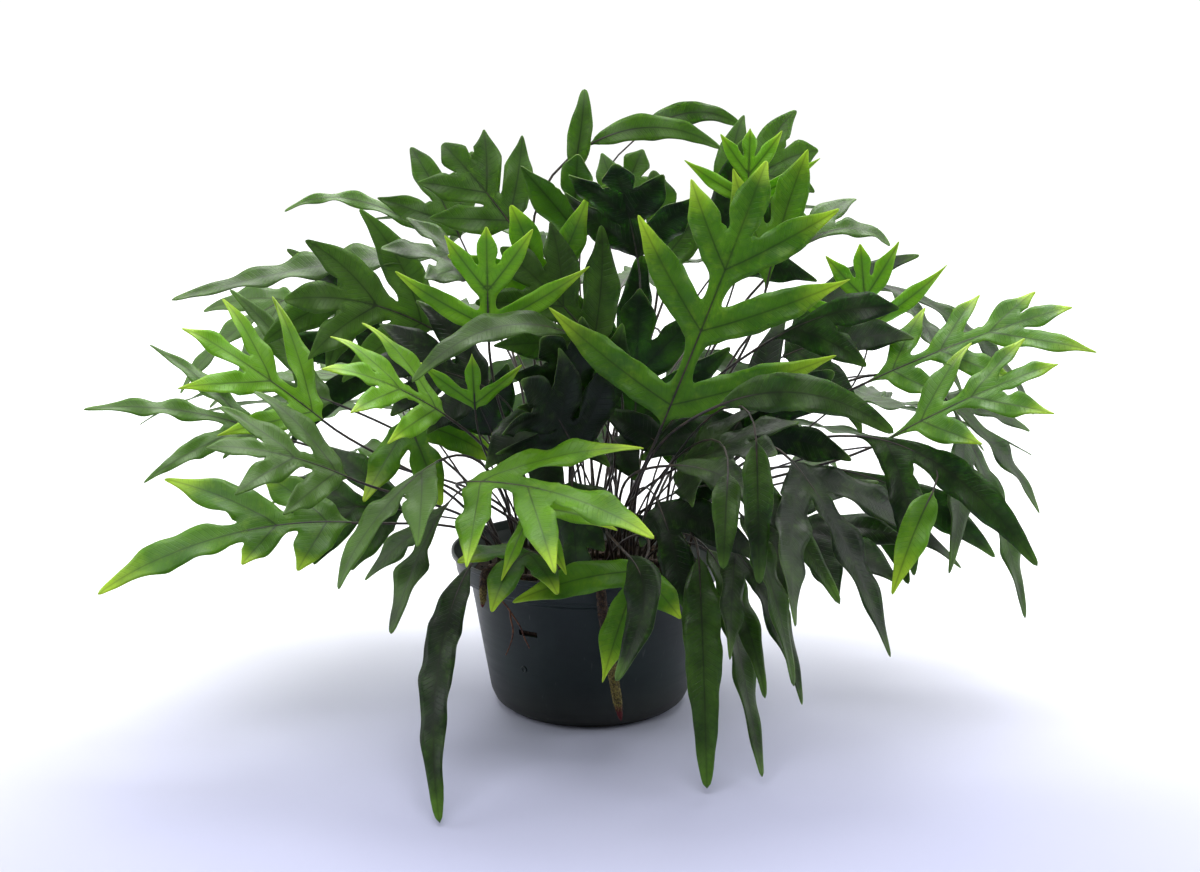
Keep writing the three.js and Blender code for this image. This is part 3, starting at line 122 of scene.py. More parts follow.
# %% The planting list
FRONDS = [
    ("hero_frond", [60, -140, 285], [145, -110, 500], 0, 6, FRONT, "hero", 14, 0.2),
    ("bright_wing_right", [240, -70, 310], [400, -110, 380], 8, 0, FRONT_UP, "wing", 11, 0.3),
    ("bright_fan_right", [250, -120, 270], [375, -170, 342], 8, 0, FRONT_UP, "fan", 11, 0.3),
    ("paw_front_left", [-100, -150, 240], [50, -270, 225], 24, 0, FRONT_UP, "spread", 14.5, 0.3),
    ("strap_glossy_right", [105, -180, 310], [235, -235, 300], 38, 0, FRONT, "strap", 15, 0.6),
    ("wing_left", [-205, -90, 190], [-405, -170, 152], 36, 0, FRONT_UP, "sickle", 17, 0.3),
    ("strap_hanging_left", [-100, -140, 165], [-116, -296, 6], 30, 26, FRONT_LEFT, "strap", 14.5, 0.4),
    ("strap_hanging_front", [90, -165, 180], [95, -232, 6], 30, 0, FRONT_UP, "strap", 15.5, 0.4),
    ("strap_left_long", [-130, 20, 410], [-367, -20, 372], 18, 0, OUT_LEFT, "strap", 18, 0.5),
    ("paw_lime_left", [-85, -90, 355], [-85, -100, 445], 0, 0, FRONT, "paw5_small", 9, 0.4),
    ("upright_bright_top", [155, -20, 385], [191, 0, 504], 0, -10, FRONT, "fork_left", 15, 0.5),
    ("low_paw_front", [45, -180, 180], [11, -216, 90], 14, 0, FRONT_UP, "paw3_wide", 13.5, 0.5),
    ("dark_arch_right", [75, -170, 255], [210, -236, 159], 56, 0, FRONT_UP, "strap", 15, 0.8),
    ("strap_front_left", [-125, -140, 255], [-200, -230, 175], 26, 0, OUT_LEFT, "fork_left", 15, 0.6),
    ("broad_dark_right", [165, -160, 260], [241, -225, 115], 34, 0, LOW_RIGHT, "paw3_long", 16, 0.7),
    ("curled_front", [50, -195, 230], [48, -262, 149], 26, -40, FRONT_UP, "strap", 15, 0.9),
    ("bright_low_right", [280, -165, 235], [243, -205, 160], 12, 0, FRONT, "strap", 12.5, 0.7),
    ("curled_right", [230, -120, 270], [374, -170, 169], 50, 0, FRONT, "fork_right", 15, 0.7),
    ("long_dark_right", [315, -60, 285], [381, -92, 105], 34, 0, LOW_RIGHT, "fork_right", 15, 0.6),
    ("crest_arch", [0, 90, 505], [123, 110, 501], 34, 0, FRONT, "strap", 12, 0.7),
    ("crest_upright", [-15, 70, 480], [-5, 80, 556], 0, 4, FRONT, "strap", 11, 0.7),
    ("crest_left_paw", [-70, 60, 430], [-136, 80, 506], 6, 0, FRONT, "paw5", 14, 0.8),
    ("crest_right_paw", [125, 110, 445], [215, 120, 498], 22, 0, FRONT, "paw5", 14, 0.8),
    ("dark_upright", [60, 0, 400], [52, 20, 499], 0, 8, FRONT, "fork_right", 17, 0.8),
    ("arch_low_right", [110, -150, 190], [177, -200, 66], 46, 0, LOW_RIGHT, "fork_right", 13, 0.7),
    ("strap_hanging_narrow", [110, -135, 160], [140, -210, 7], 22, 0, LOW_RIGHT, "strap", 13, 0.6),
    ("left_front_hanging", [-115, -160, 225], [-157, -225, 134], 22, 0, LOW_LEFT, "fork_right", 14, 0.7),
    ("lime_paw_side", [-235, -40, 270], [-344, -80, 359], 8, 0, FRONT_UP, "paw5", 11, 0.5),
    ("paw_lime_low_left", [-120, -120, 290], [-211, -180, 341], 14, 0, FRONT_UP, "paw5", 10, 0.6),
    ("strap_centre", [-15, -120, 360], [-137, -195, 329], 44, 0, FRONT_UP, "strap", 15, 0.7),
    ("paw_centre", [10, -60, 335], [-75, -70, 425], 10, 0, FRONT, "paw5", 15, 0.7),
    ("crest_young_paw", [140, 10, 455], [141, 10, 522], 0, 0, FRONT, "paw5_small", 7, 0.6),
    ("arch_centre", [-15, 30, 420], [-10, -20, 500], 20, 0, FRONT, "paw3", 14, 0.8),
    ("paw_centre_left", [-35, -40, 375], [-66, -60, 459], 6, 0, FRONT, "paw3_long", 13, 0.8),
    ("strap_far_left", [-155, 150, 415], [-301, 160, 443], 40, 0, FRONT_UP, "strap", 9, 0.8),
    ("grey_back_left", [-125, 130, 415], [-174, 160, 500], 8, 0, FRONT, "paw3", 13, 0.9),
    ("drooping_left", [-275, 90, 365], [-391, 80, 274], 26, 0, OUT_LEFT, "paw3", 15, 0.8),
    ("paw_left_mid", [-140, 0, 345], [-267, -30, 375], 24, 0, FRONT, "paw5", 15, 0.9),
    ("light_strap_left", [-90, -40, 405], [-166, -80, 432], 14, 0, FRONT_UP, "paw3", 13, 0.9),
    ("slender_left", [-290, 0, 250], [-442, -50, 282], 20, 0, FRONT_UP, "paw3", 10, 0.6),
    ("paw_left_low", [-205, -110, 235], [-309, -170, 274], 14, 0, FRONT_UP, "paw5", 12, 0.8),
    ("fork_left_mid", [-235, 20, 275], [-353, 0, 296], 16, 0, FRONT_UP, "paw3_long", 12, 0.9),
    ("young_paw_inner", [-95, -120, 295], [-95, -150, 345], 4, 0, FRONT, "paw3_long", 6.5, 0.9),
    ("young_paw_right", [245, -20, 345], [235, -30, 424], 0, 0, FRONT, "paw5_small", 8, 0.6),
    ("strap_mid_right", [155, -90, 350], [255, -120, 380], 18, 0, FRONT, "fork_right", 14, 0.7),
    ("arch_right_back", [190, 60, 410], [283, 90, 413], 34, 0, FRONT_UP, "fork_left", 12, 0.9),
    ("arch_far_right", [255, 60, 380], [414, 30, 265], 50, 0, OUT_RIGHT, "fork_right", 12, 0.8),
    ("grey_low_right", [225, -60, 220], [356, -95, 149], 24, 0, FRONT, "fork_right", 14, 0.9),
    ("far_right_hanging", [305, 10, 290], [413, 0, 177], 26, 0, OUT_RIGHT, "fork_left", 13, 0.8),
    ("short_front_right", [110, -205, 260], [105, -240, 192], 14, 0, FRONT, "strap", 11, 1.2),
    ("short_mid_right", [140, -210, 290], [144, -240, 183], 16, 0, FRONT, "strap", 11.5, 1.2),
    ("dark_low_right", [110, -120, 165], [158, -180, 57], 30, 0, LOW_RIGHT, "strap", 13, 1.0),
    ("pale_paw_front", [-50, -165, 225], [-18, -208, 178], 8, 0, FRONT, "paw3_long", 7, 0.9),
    ("strap_left_back", [-185, 40, 365], [-297, 20, 329], 30, 0, FRONT, "fork_left", 15, 1.0),
    ("inner_front_paw", [-30, -110, 235], [-70, -190, 292], 14, 0, FRONT, "paw5", 14, 1.1),
    ("inner_right_paw", [75, -95, 240], [151, -175, 268], 18, 0, FRONT_UP, "paw5", 15, 1.1),
    ("inner_left_paw", [-120, -60, 295], [-216, -120, 303], 18, 0, FRONT_UP, "paw5", 14, 1.1),
    ("inner_crown", [30, -10, 395], [17, -70, 473], 12, 0, FRONT, "paw5", 15, 1.1),
    ("inner_crown_right", [115, 30, 395], [181, -10, 459], 12, 0, FRONT, "paw3_long", 14, 1.1),
    ("inner_left_back", [-180, 60, 295], [-310, 50, 319], 24, 0, FRONT, "paw3_long", 14, 1.2),
    ("inner_right_back", [190, 0, 315], [306, -40, 322], 24, 0, FRONT, "paw3_long", 15, 1.2),
    ("inner_low_right", [150, -110, 205], [262, -180, 176], 24, 0, FRONT_UP, "paw5", 14, 1.1),
    ("inner_low_left", [-150, -60, 210], [-252, -120, 221], 22, 0, FRONT_UP, "paw5", 13, 1.1),
    ("inner_low_front", [-40, -150, 185], [-66, -232, 168], 20, 0, FRONT_UP, "paw3", 13, 1.1),
    ("inner_centre", [20, -95, 280], [-28, -140, 356], 10, 0, FRONT, "paw5", 14, 1.2),
    ("inner_deep", [40, -20, 255], [43, -60, 388], 10, 0, FRONT, "paw5", 16, 1.2),
    ("inner_gap_left", [-75, -20, 260], [-104, -40, 337], 10, 0, FRONT, "paw3", 14, 1.4),
    ("inner_gap_right", [125, -60, 265], [183, -80, 339], 10, 0, FRONT, "paw3_long", 15, 1.2),
    ("deep_front_middle", [0, -70, 270], [12, -110, 176], 12, 0, FRONT, "paw5", 16, 1.6),
    ("deep_front_left", [-95, -60, 280], [-38, -110, 193], 12, 0, FRONT, "paw3_long", 16, 1.6),
    ("deep_right", [155, -60, 265], [108, -90, 192], 12, 0, FRONT, "paw3_long", 15, 1.6),
    ("deep_left", [-165, -20, 270], [-131, -60, 198], 10, 0, FRONT, "paw3_long", 14, 1.6),
    ("deep_middle_low", [30, -60, 255], [67, -100, 204], 12, 0, FRONT, "strap", 14, 1.6),
    ("deep_middle_right", [100, -60, 235], [53, -90, 276], 8, 0, FRONT, "strap", 14, 1.6),
    ("deep_middle_back", [95, 60, 200], [46, 50, 272], 6, 0, FRONT, "strap", 16, 1.6),
    ("deep_middle_left", [-65, 20, 210], [-27, 0, 281], 6, 0, FRONT, "strap", 15, 1.6),
    ("second_dark_right", [145, -190, 260], [206, -245, 131], 40, 0, LOW_RIGHT, "strap", 13, 1.2),
    ("deep_pot_right", [65, -90, 230], [105, -140, 158], 18, 0, FRONT, "paw3_long", 15, 1.6),
    ("deep_upper_middle", [25, 60, 320], [34, 40, 417], 4, 0, FRONT, "strap", 15, 1.6),
    ("back_low_left", [-170, 190, 230], [-330, 300, 190], 34, 0, [-0.5, 0.6, 0.7], "paw3_long", 16, 1.4),
    ("back_mid_left", [-110, 200, 330], [-190, 360, 300], 34, 0, [-0.3, 0.6, 0.8], "paw3_long", 16, 1.4),
    ("back_low", [-20, 190, 300], [-50, 300, 150], 20, 0, BACK, "paw5", 17, 1.4),
    ("back_mid", [30, 190, 360], [70, 350, 345], 34, 0, BACK_UP, "paw3_long", 16, 1.4),
    ("back_low_right", [150, 200, 220], [270, 320, 150], 36, 0, [0.5, 0.6, 0.7], "paw3_long", 16, 1.4),
    ("back_mid_right", [140, 180, 330], [290, 270, 320], 30, 0, [0.4, 0.5, 0.8], "paw3_long", 16, 1.4),
    ("back_crest_left", [-60, 150, 410], [-150, 260, 400], 30, 0, UP_LEFT, "paw3_long", 14, 1.4),
    ("back_crest_right", [90, 150, 420], [180, 250, 410], 30, 0, UP_RIGHT, "paw3_long", 14, 1.4),
    ("side_left_back", [-230, 110, 280], [-390, 200, 240], 36, 0, [-0.6, 0.3, 0.8], "paw3_long", 14, 1.4),
    ("side_right_back", [240, 110, 270], [390, 190, 220], 36, 0, [0.6, 0.3, 0.8], "paw3_long", 15, 1.4),
    ("side_low_left", [-180, 80, 200], [-320, 130, 150], 40, 0, [-0.8, 0.2, 0.6], "paw3_long", 15, 1.4),
    ("side_low_right", [190, 70, 190], [310, 130, 130], 40, 0, [0.8, 0.2, 0.6], "paw3_long", 15, 1.4),
    ("crest_middle", [15, 95, 450], [35, 120, 510], 8, 0, FRONT, "paw3", 13, 1.4),
    ("crest_high_arch", [45, 140, 510], [145, 150, 521], 34, 0, FRONT, "strap", 11, 1.4),
    ("back_hanging", [60, 180, 290], [80, 280, 130], 20, 0, BACK, "paw3_long", 17, 1.4),
]
print("fronds in the list:", len(FRONDS))

# %% [markdown]
# ## Young fronds beside older ones
# A creeping rhizome often sends up a young frond from the foot of an older one. The two
# share a solid, and the younger stalk starts slimmer.

# %% Young fronds beside older ones
SHARED_BASES = {
    "bright_low_right": "bright_fan_right",
    "crest_upright": "crest_arch",
    "strap_hanging_narrow": "strap_hanging_front",
    "left_front_hanging": "strap_front_left",
    "crest_young_paw": "upright_bright_top",
    "paw_centre_left": "paw_lime_left",
    "grey_back_left": "crest_left_paw",
    "young_paw_inner": "paw_lime_low_left",
    "young_paw_right": "bright_wing_right",
    "far_right_hanging": "long_dark_right",
    "short_front_right": "dark_arch_right",
    "short_mid_right": "strap_glossy_right",
    "dark_low_right": "arch_low_right",
    "pale_paw_front": "paw_front_left",
    "inner_front_paw": "curled_front",
    "inner_left_paw": "paw_left_low",
    "inner_crown": "arch_centre",
    "inner_crown_right": "crest_right_paw",
    "inner_right_back": "arch_right_back",
    "inner_low_right": "grey_low_right",
    "inner_low_left": "fork_left_mid",
    "inner_low_front": "low_paw_front",
    "inner_centre": "paw_centre",
    "inner_gap_left": "inner_left_back",
    "inner_gap_right": "inner_right_paw",
    "deep_front_middle": "strap_centre",
    "deep_front_left": "strap_hanging_left",
    "deep_right": "broad_dark_right",
    "deep_left": "wing_left",
    "deep_middle_low": "inner_deep",
    "deep_middle_right": "dark_upright",
    "deep_middle_back": "arch_far_right",
    "deep_middle_left": "paw_left_mid",
    "second_dark_right": "curled_right",
    "deep_pot_right": "strap_mid_right",
    "deep_upper_middle": "light_strap_left",
    "crest_middle": "back_crest_left",
    "crest_high_arch": "back_crest_right",
}

# %% [markdown]
# ## Small tools
# Every lean, wave and colour change comes from seeded draws, so the plant grows the same on
# every run. The same draw rule made the CAD stances, which is why it is written out here
# and not taken from a random library.

# %% Draws, directions and steps
def make_draw(seed):
    state = seed

    def draw():
        nonlocal state
        state = (state * 16807) % 2147483647
        return state / 2147483647

    return draw


def unit(vector):
    return vector / np.maximum(np.linalg.norm(vector, axis=-1, keepdims=True), 1e-9)


def turned(vector, axis, angle):
    across = np.cross(axis, vector)
    kept = axis * np.dot(axis, vector) * (1 - math.cos(angle))
    return vector * math.cos(angle) + across * math.sin(angle) + kept


def smooth_step(low, high, value):
    share = np.clip((value - low) / (high - low), 0, 1)
    return share * share * (3 - 2 * share)


print("a first draw:", round(make_draw(1)(), 6), "half a smooth step:", smooth_step(0, 1, 0.5))

# %% Meshes and what is painted on them
def mesh_piece(name, points, faces, smooth=True):
    mesh = bpy.data.meshes.new(name)
    mesh.from_pydata(np.asarray(points).tolist(), [], faces)
    mesh.polygons.foreach_set("use_smooth", [smooth] * len(mesh.polygons))
    mesh.update()
    piece = bpy.data.objects.new(name, mesh)
    bpy.context.scene.collection.objects.link(piece)
    return piece


def joined(parts):
    points, faces, count = [], [], 0
    for spots, part_faces in parts:
        faces += [tuple(c + count for c in face) for face in part_faces]
        points.append(spots)
        count += len(spots)
    return np.concatenate(points), faces


def paint(piece, name, values):
    values = np.asarray(values, dtype=np.float32)
    kind = "FLOAT" if values.ndim == 1 else "FLOAT_VECTOR"
    layer = piece.data.attributes.new(name, kind, "POINT")
    layer.data.foreach_set("value" if values.ndim == 1 else "vector", values.ravel())


def cad_points(name):
    mesh = bpy.data.objects[name].data
    flat = np.empty(3 * len(mesh.vertices))
    mesh.vertices.foreach_get("co", flat)
    return flat.reshape(-1, 3) / MM


# %% [markdown]
# ## The stance of a frond
# A crowded plant has no two leaves in one place: each solid frond was turned, tipped and
# pushed until it hung clear of its neighbours. The same formulas are repeated here, so a
# fine frond can stand in exactly that stance. Working it out from the shape of the solid
# alone would be a long fit; asking which of the numbered stances the solid has is short.

# %% One stance and its spine
TURN_REACH = math.radians(26)
TIP_REACH = math.radians(20)
ROLL_REACH = math.radians(34)
PUSH_REACH = 0.14
FIRST_REACH = 0.12
TRIALS_TO_FULL_REACH = 260
STANCE_SEED, SEED_STEP = 7919, 131
WEB_SHARE = 0.5


def read_frond(entry):
    name, neck, tip, arch, sway, face, plan, half_width, freedom = entry
    frond = SimpleNamespace(name=name, arch=arch, sway=sway, plan=plan, half_width=half_width,
                            freedom=freedom, neighbour=SHARED_BASES.get(name))
    frond.neck, frond.tip, frond.face = (np.array(p, dtype=float) for p in (neck, tip, face))
    frond.node = frond.neighbour or name
    frond.web = WEB_SHARE * half_width
    return frond


def stance_of(frond, trial):
    draw = make_draw(STANCE_SEED + trial * SEED_STEP)
    reach = 0 if trial == 0 else frond.freedom * min(1, FIRST_REACH + trial / TRIALS_TO_FULL_REACH)
    turn, tip, roll, push = ((2 * draw() - 1) * reach for _ in range(4))
    outward = unit((frond.neck - frond.root) * [1, 1, 0])
    hinge = np.cross(UP, outward)

    def lean(vector):
        return turned(turned(vector, hinge, TIP_REACH * tip), UP, TURN_REACH * turn)

    def place(spot):
        return frond.root + lean((spot - frond.root) * (1 + PUSH_REACH * push))

    side = unit(np.cross(frond.tip - frond.neck, UP))
    middle = (frond.neck + frond.tip) / 2 + frond.arch * UP + frond.sway * side
    stance = SimpleNamespace(neck=place(frond.neck), crown=place(middle), end=place(frond.tip))
    spine = unit(stance.end - stance.neck)
    stance.face = turned(lean(unit(frond.face)), spine, ROLL_REACH * roll)
    chord, rise, fall = (np.linalg.norm(v) for v in (
        stance.end - stance.neck, stance.crown - stance.neck, stance.end - stance.crown))
    stance.length = (2 * chord + rise + fall) / 3
    return stance


def spine_frame(stance, share):
    share = np.asarray(share, dtype=float)[..., None]
    t = np.minimum(share, 1)
    back = 1 - t
    place = stance.neck * back * back + stance.crown * 2 * back * t + stance.end * t * t
    along = unit((stance.crown - stance.neck) * back + (stance.end - stance.crown) * t)
    place = place + along * np.maximum(0, share - 1) * stance.length
    upper = unit(stance.face - along * (along @ stance.face)[..., None])
    return place, along, upper, np.cross(along, upper)


def blade_place(stance, u, v, lift):
    place, _, upper, right = spine_frame(stance, u / stance.length)
    return place + right * v[..., None] + upper * lift[..., None]


# %% [markdown]
# ### The stalk
# A stalk rises straight from the soil and then leans over to meet its blade. A cubic Bezier
# curve with one handle straight up and one along the blade does this in a single formula.

# %% The stalk's curve
STALK_RISE = 0.4
STALK_BEND = 0.36


def stalk_curve(frond, stance, share):
    _, along, _, _ = spine_frame(stance, 0.0)
    distance = np.linalg.norm(stance.neck - frond.root)
    foot, neck = frond.root, stance.neck
    rise, fall = foot + STALK_RISE * distance * UP, neck - STALK_BEND * distance * along
    t = np.asarray(share, dtype=float)[..., None]
    back = 1 - t
    place = foot * back ** 3 + rise * 3 * back ** 2 * t + fall * 3 * back * t ** 2 + neck * t ** 3
    along = (rise - foot) * back ** 2 + (fall - rise) * 2 * back * t + (neck - fall) * t ** 2
    return place, unit(along)


# %% [markdown]
# ### Reading the stance of a solid frond
# The fine frond has to hang just as its solid does, so the solid's own corners are searched
# for the stance. A curve could be fitted to the solid instead, but trying the numbered
# stances one after another is exact and short.

# %% Which stance a solid frond has
TRIALS = 320
CHECK_SHARE = 0.75
STALK_FIT = 0.02
FOOT_FIT = 0.05


def find_root(points):
    low = points[np.abs(points[:, 2] - (SOIL_TOP - STALK_DEPTH)) < FOOT_FIT]
    low = low[np.hypot(low[:, 0], low[:, 1]) < BASE_RADIUS + 20]
    return np.array([*low[:, :2].mean(axis=0), SOIL_TOP])


def stalk_corners(frond, stance):
    place, along = stalk_curve(frond, stance, CHECK_SHARE)
    _, _, _, right = spine_frame(stance, 0.0)
    right = unit(right - along * np.dot(right, along))
    upper = np.cross(right, along)
    return [place + STALK_RADIUS * (x * right + y * upper) for x in (-1, 1) for y in (-1, 1)]


def find_stance(frond, tree):
    best = None
    for trial in range(TRIALS + 1):
        stance = stance_of(frond, trial)
        miss = max(tree.find(corner)[2] for corner in stalk_corners(frond, stance))
        if best is None or miss < best[0]:
            best = (miss, stance)
        if miss < STALK_FIT:
            break
    return best


# %% The stance of every frond
fronds = [read_frond(entry) for entry in FRONDS]
trees = {}
for frond in fronds:
    if frond.node not in trees:
        points = cad_points(frond.node)
        tree = kdtree.KDTree(len(points))
        for k, spot in enumerate(points):
            tree.insert(spot, k)
        tree.balance()
        trees[frond.node] = (tree, find_root(points))
    tree, frond.root = trees[frond.node]
    frond.miss, frond.stance = find_stance(frond, tree)
print("fronds:", len(fronds), "worst stalk miss:", round(max(f.miss for f in fronds), 3), "mm")

# %% [markdown]
# ## The lobes
# Each lobe leaves the spine at its plan's angle. Where it would have struck a neighbour its
# solid was bent up or down or grown shorter, from a short list of choices: how far it bends
# and how much of its length is left. The last lobe carries on along the spine.

# %% Lobes as the plan lays them out
LOBE_CHOICES = [
    (0, 1), (0.16, 1), (-0.16, 1), (0.32, 1), (-0.32, 1), (0.5, 0.95), (-0.5, 0.95),
    (0, 0.7), (0.25, 0.7), (-0.25, 0.7), (0.7, 0.8), (-0.7, 0.8), (0, 0.45), (0.3, 0.4),
    (-0.3, 0.4), (0, 0.22),
]
END_CHOICES = [choice for choice in LOBE_CHOICES if choice[1] >= 0.7]
FREE_LENGTH = 7
HALF_TO_LENGTH = 0.28


def make_lobe(frond, index, side, share, angle, choice):
    bend, size = choice
    lobe = SimpleNamespace(index=index, side=side, angle=angle, bend=bend, present=share > 0)
    length = frond.stance.length
    lobe.length = max(share * length * size, frond.web / math.sin(angle) + FREE_LENGTH)
    lobe.half = min(frond.half_width, HALF_TO_LENGTH * lobe.length)
    return lobe


def end_lobe(frond, start, choice):
    bend, size = choice
    return SimpleNamespace(side=0, angle=0, bend=bend, start=start,
                           length=(frond.stance.length - start) * size, half=frond.half_width)


print("choices for a lobe:", len(LOBE_CHOICES), "for the last lobe:", len(END_CHOICES))

# %% [markdown]
# ### A lobe's own measures
# A spot of a lobe is told by its distance along the lobe's rib and by how far it lies across
# it. One formula turns this into a place on the flat blade, and a second one turns it back.
# A lobe could be a straight strip, but a living one sweeps gently towards the blade's tip.

# %% From a lobe's measures to the flat blade, and back
SWEEP = 0.1


def flat_spot(lobe, distance, across):
    if lobe.side == 0:
        return lobe.start + distance, across
    c, s = math.cos(lobe.angle), math.sin(lobe.angle)
    u = lobe.start + distance * c + SWEEP * distance ** 2 / lobe.length + across * s
    return u, lobe.side * (distance * s - across * c)


def lobe_spot(lobe, u, v):
    if lobe.side == 0:
        return u - lobe.start, v
    c, s = math.cos(lobe.angle), math.sin(lobe.angle)
    out = v * lobe.side
    a, b, k = SWEEP / lobe.length, 1 / c, lobe.start - s * out / c - u
    distance = (-b + np.sqrt(np.maximum(b * b - 4 * a * k, 0))) / (2 * a)
    return distance, (distance * s - out) / c


# %% How a lobe's margins wave and its middle bends
MARGIN_BAND = 6


def margin_wave(lobe, distance, across):
    side = lobe.side or np.sign(across)
    index = 5 if lobe.side == 0 else lobe.index
    run = distance + (lobe.start if lobe.side == 0 else across)
    return RUFFLE * np.sin(2 * math.pi * run / RUFFLE_LENGTH + 1.7 * index + 1.1 * side)


def lobe_lift(lobe, distance, across):
    edge = np.minimum(1, np.abs(across) / MARGIN_BAND)
    bend = lobe.bend * distance ** 2 / lobe.length
    return BLADE_GUTTER * np.abs(across) + bend + edge * margin_wave(lobe, distance, across)


# %% [markdown]
# ### Reading the lobes of a solid frond
# The choice that puts a lobe's point on a corner of the solid is the right one. The choices
# are tried in the order in which the solids tried them, so the search mostly ends at once.

# %% Which lobes a solid frond has
TIP_FIT = 0.45
BASE_TO_HALF = 0.9


def choose(frond, tree, make, choices):
    best = None
    for choice in choices:
        lobe = make(choice)
        tip = np.array([lobe.length]), np.array([0.0])
        u, v = flat_spot(lobe, *tip)
        spot = blade_place(frond.stance, u, v, lobe_lift(lobe, *tip))[0]
        miss = tree.find(spot)[2]
        if best is None or miss < best[0]:
            best = (miss, lobe)
        if miss < TIP_FIT:
            break
    frond.miss = max(frond.miss, best[0])
    return best[1]


def lay_out_lobes(frond, tree):
    lobes = []
    for at, left, right, degrees, *own in PLANS[frond.plan]:
        for side, share, turn in ((-1, left, degrees), (1, right, (own or [degrees])[0])):
            angle = math.radians(turn)
            start = at * frond.stance.length

            def make(choice):
                lobe = make_lobe(frond, len(lobes), side, share, angle, choice)
                lobe.start = start
                return lobe

            lobes.append(choose(frond, tree, make, LOBE_CHOICES) if share else make(LOBE_CHOICES[0]))
    for lobe in lobes:
        base = BASE_TO_HALF * lobe.half / math.sin(lobe.angle)
        centre = lobe.start + frond.web / math.tan(lobe.angle)
        lobe.near, lobe.far = centre - base, centre + base
    for side in (-1, 1):
        row = [lobe for lobe in lobes if lobe.side == side]
        for before, after in zip(row, row[1:]):
            before.far -= max(0, SINUS - (after.near - before.far)) / 2
    start = max(lobe.far for lobe in lobes[-2:]) if lobes else 0
    end = choose(frond, tree, lambda choice: end_lobe(frond, start, choice), END_CHOICES)
    return [lobe for lobe in lobes if lobe.present], end


for frond in fronds:
    frond.lobes, frond.end = lay_out_lobes(frond, trees[frond.node][0])
count = sum(len(frond.lobes) + 1 for frond in fronds)
print("lobes:", count, "worst miss:", round(max(frond.miss for frond in fronds), 2), "mm")

# %% [markdown]
# ## The outline of a blade
# A living lobe is a strap with wavy sides and a drawn point, and the cut between two lobes
# ends in a round, open sinus. A subdivided copy of the coarse solid would give soft, equal
# waves, so the outline is drawn anew: two free edges for each lobe, and one Bezier curve
# for each sinus.

# %% The width of a lobe
GRAIN = 3.6
SINUS_DEPTH = 3.0
TAPER, TAPER_FROM, ROUNDNESS = 0.5, 0.4, 14
POINT_FROM, POINT_TO = 0.54, 0.98
WAVE_LENGTHS, WAVE_SIZES = (7.2, 3.1), (0.045, 0.022)


def lobe_reach(frond, lobe):
    return 0.0 if lobe.side == 0 else frond.web / math.sin(lobe.angle)


def lobe_width(frond, lobe, distance, flank):
    start = lobe_reach(frond, lobe)
    share = np.clip((distance - start) / (lobe.length - start), 0, 1)
    blunt = (1 - TAPER * smooth_step(TAPER_FROM, 1, share)) * np.sqrt(1 - share ** ROUNDNESS)
    pointed = 0.76 * (1 - smooth_step(POINT_FROM, POINT_TO, share)) + 0.24 * (1 - share ** 3) ** 0.6
    drawn = blunt + lobe.point * (pointed - blunt)
    if lobe.side:
        body = 0.9 + 0.1 * np.sin(math.pi * np.minimum(share / 0.72, 1))
    elif lobe.start:
        body = 0.5 + 0.5 * smooth_step(0, 0.34, share)
    else:
        body = 1 - 0.94 * (1 - np.minimum(share / 0.32, 1)) ** 2
    slow, quick = (distance / (length * lobe.pace) for length in WAVE_LENGTHS)
    long_wave = WAVE_SIZES[0] * np.sin(slow + lobe.phase[0] + 2.1 * flank)
    short_wave = WAVE_SIZES[1] * np.sin(quick + lobe.phase[1] + 1.3 * flank)
    return lobe.half * body * drawn * (1.02 + long_wave + short_wave)


# %% The free edges of a lobe
TIP_SHARES = [0.9, 0.935, 0.965, 0.985]
EDGE_PACE = 0.88
LEAST_HALF = 0.8
NECK_BARE, END_BARE = 4, 0.12


def edge_of(frond, lobe, distance, flank, rivals):
    width = lobe_width(frond, lobe, distance, flank)
    u, v = flat_spot(lobe, distance, 0 * distance)
    for rival in rivals:
        far, gap = lobe_spot(rival, u, v)
        room = np.abs(gap) * lobe.half / (lobe.half + rival.half) - 1.0
        beside = (far > 0) & (far < rival.length)
        width = np.where(beside, np.minimum(width, np.maximum(room, LEAST_HALF)), width)
    return width


def edge_stations(frond, lobe):
    start = lobe_reach(frond, lobe)
    steps = max(4, round(EDGE_PACE * (lobe.length - start) / GRAIN))
    shares = [*np.linspace(0, TIP_SHARES[0], steps, endpoint=False), *TIP_SHARES]
    return start + (lobe.length - start) * np.array(shares)


def stations_from(first, frond, lobe):
    inner = np.arange(first, lobe_reach(frond, lobe), GRAIN)
    return np.concatenate([inner, edge_stations(frond, lobe)])


def free_edge(frond, lobe, flank, rivals):
    distance = stations_from(0.5, frond, lobe)
    width = edge_of(frond, lobe, distance, flank, rivals)
    u, v = flat_spot(lobe, distance, flank * width)
    if lobe.side == 0:
        keep = distance > (END_BARE * lobe.length if lobe.start else NECK_BARE)
    else:
        keep = (np.abs(v) > frond.web + SINUS_DEPTH) & (v * lobe.side > 0) & (u > 6) & (distance > 2)
    keep = np.minimum.accumulate(keep[::-1])[::-1]
    return np.stack([u, v], axis=1)[keep]


# %% [markdown]
# ### One side of the blade
# Each side is one chain of curves from the neck to the tip: the near edge of a lobe, its
# point, its far edge, then the round sinus that leads to the next lobe. Walking it in order
# gives a clean outline, with no crossing lines to mend afterwards.

# %% A side of the blade from neck to tip
NECK_HALF = 1.3
BEZIER_SHARE = 0.75


def bezier(start, out_of, into, end, steps):
    t = np.linspace(0, 1, steps + 2)[1:-1, None]
    back = 1 - t
    return back ** 3 * start + 3 * back ** 2 * t * out_of + 3 * back * t ** 2 * into + t ** 3 * end


def rib_way(lobe):
    return np.array([math.cos(lobe.angle), lobe.side * math.sin(lobe.angle)])


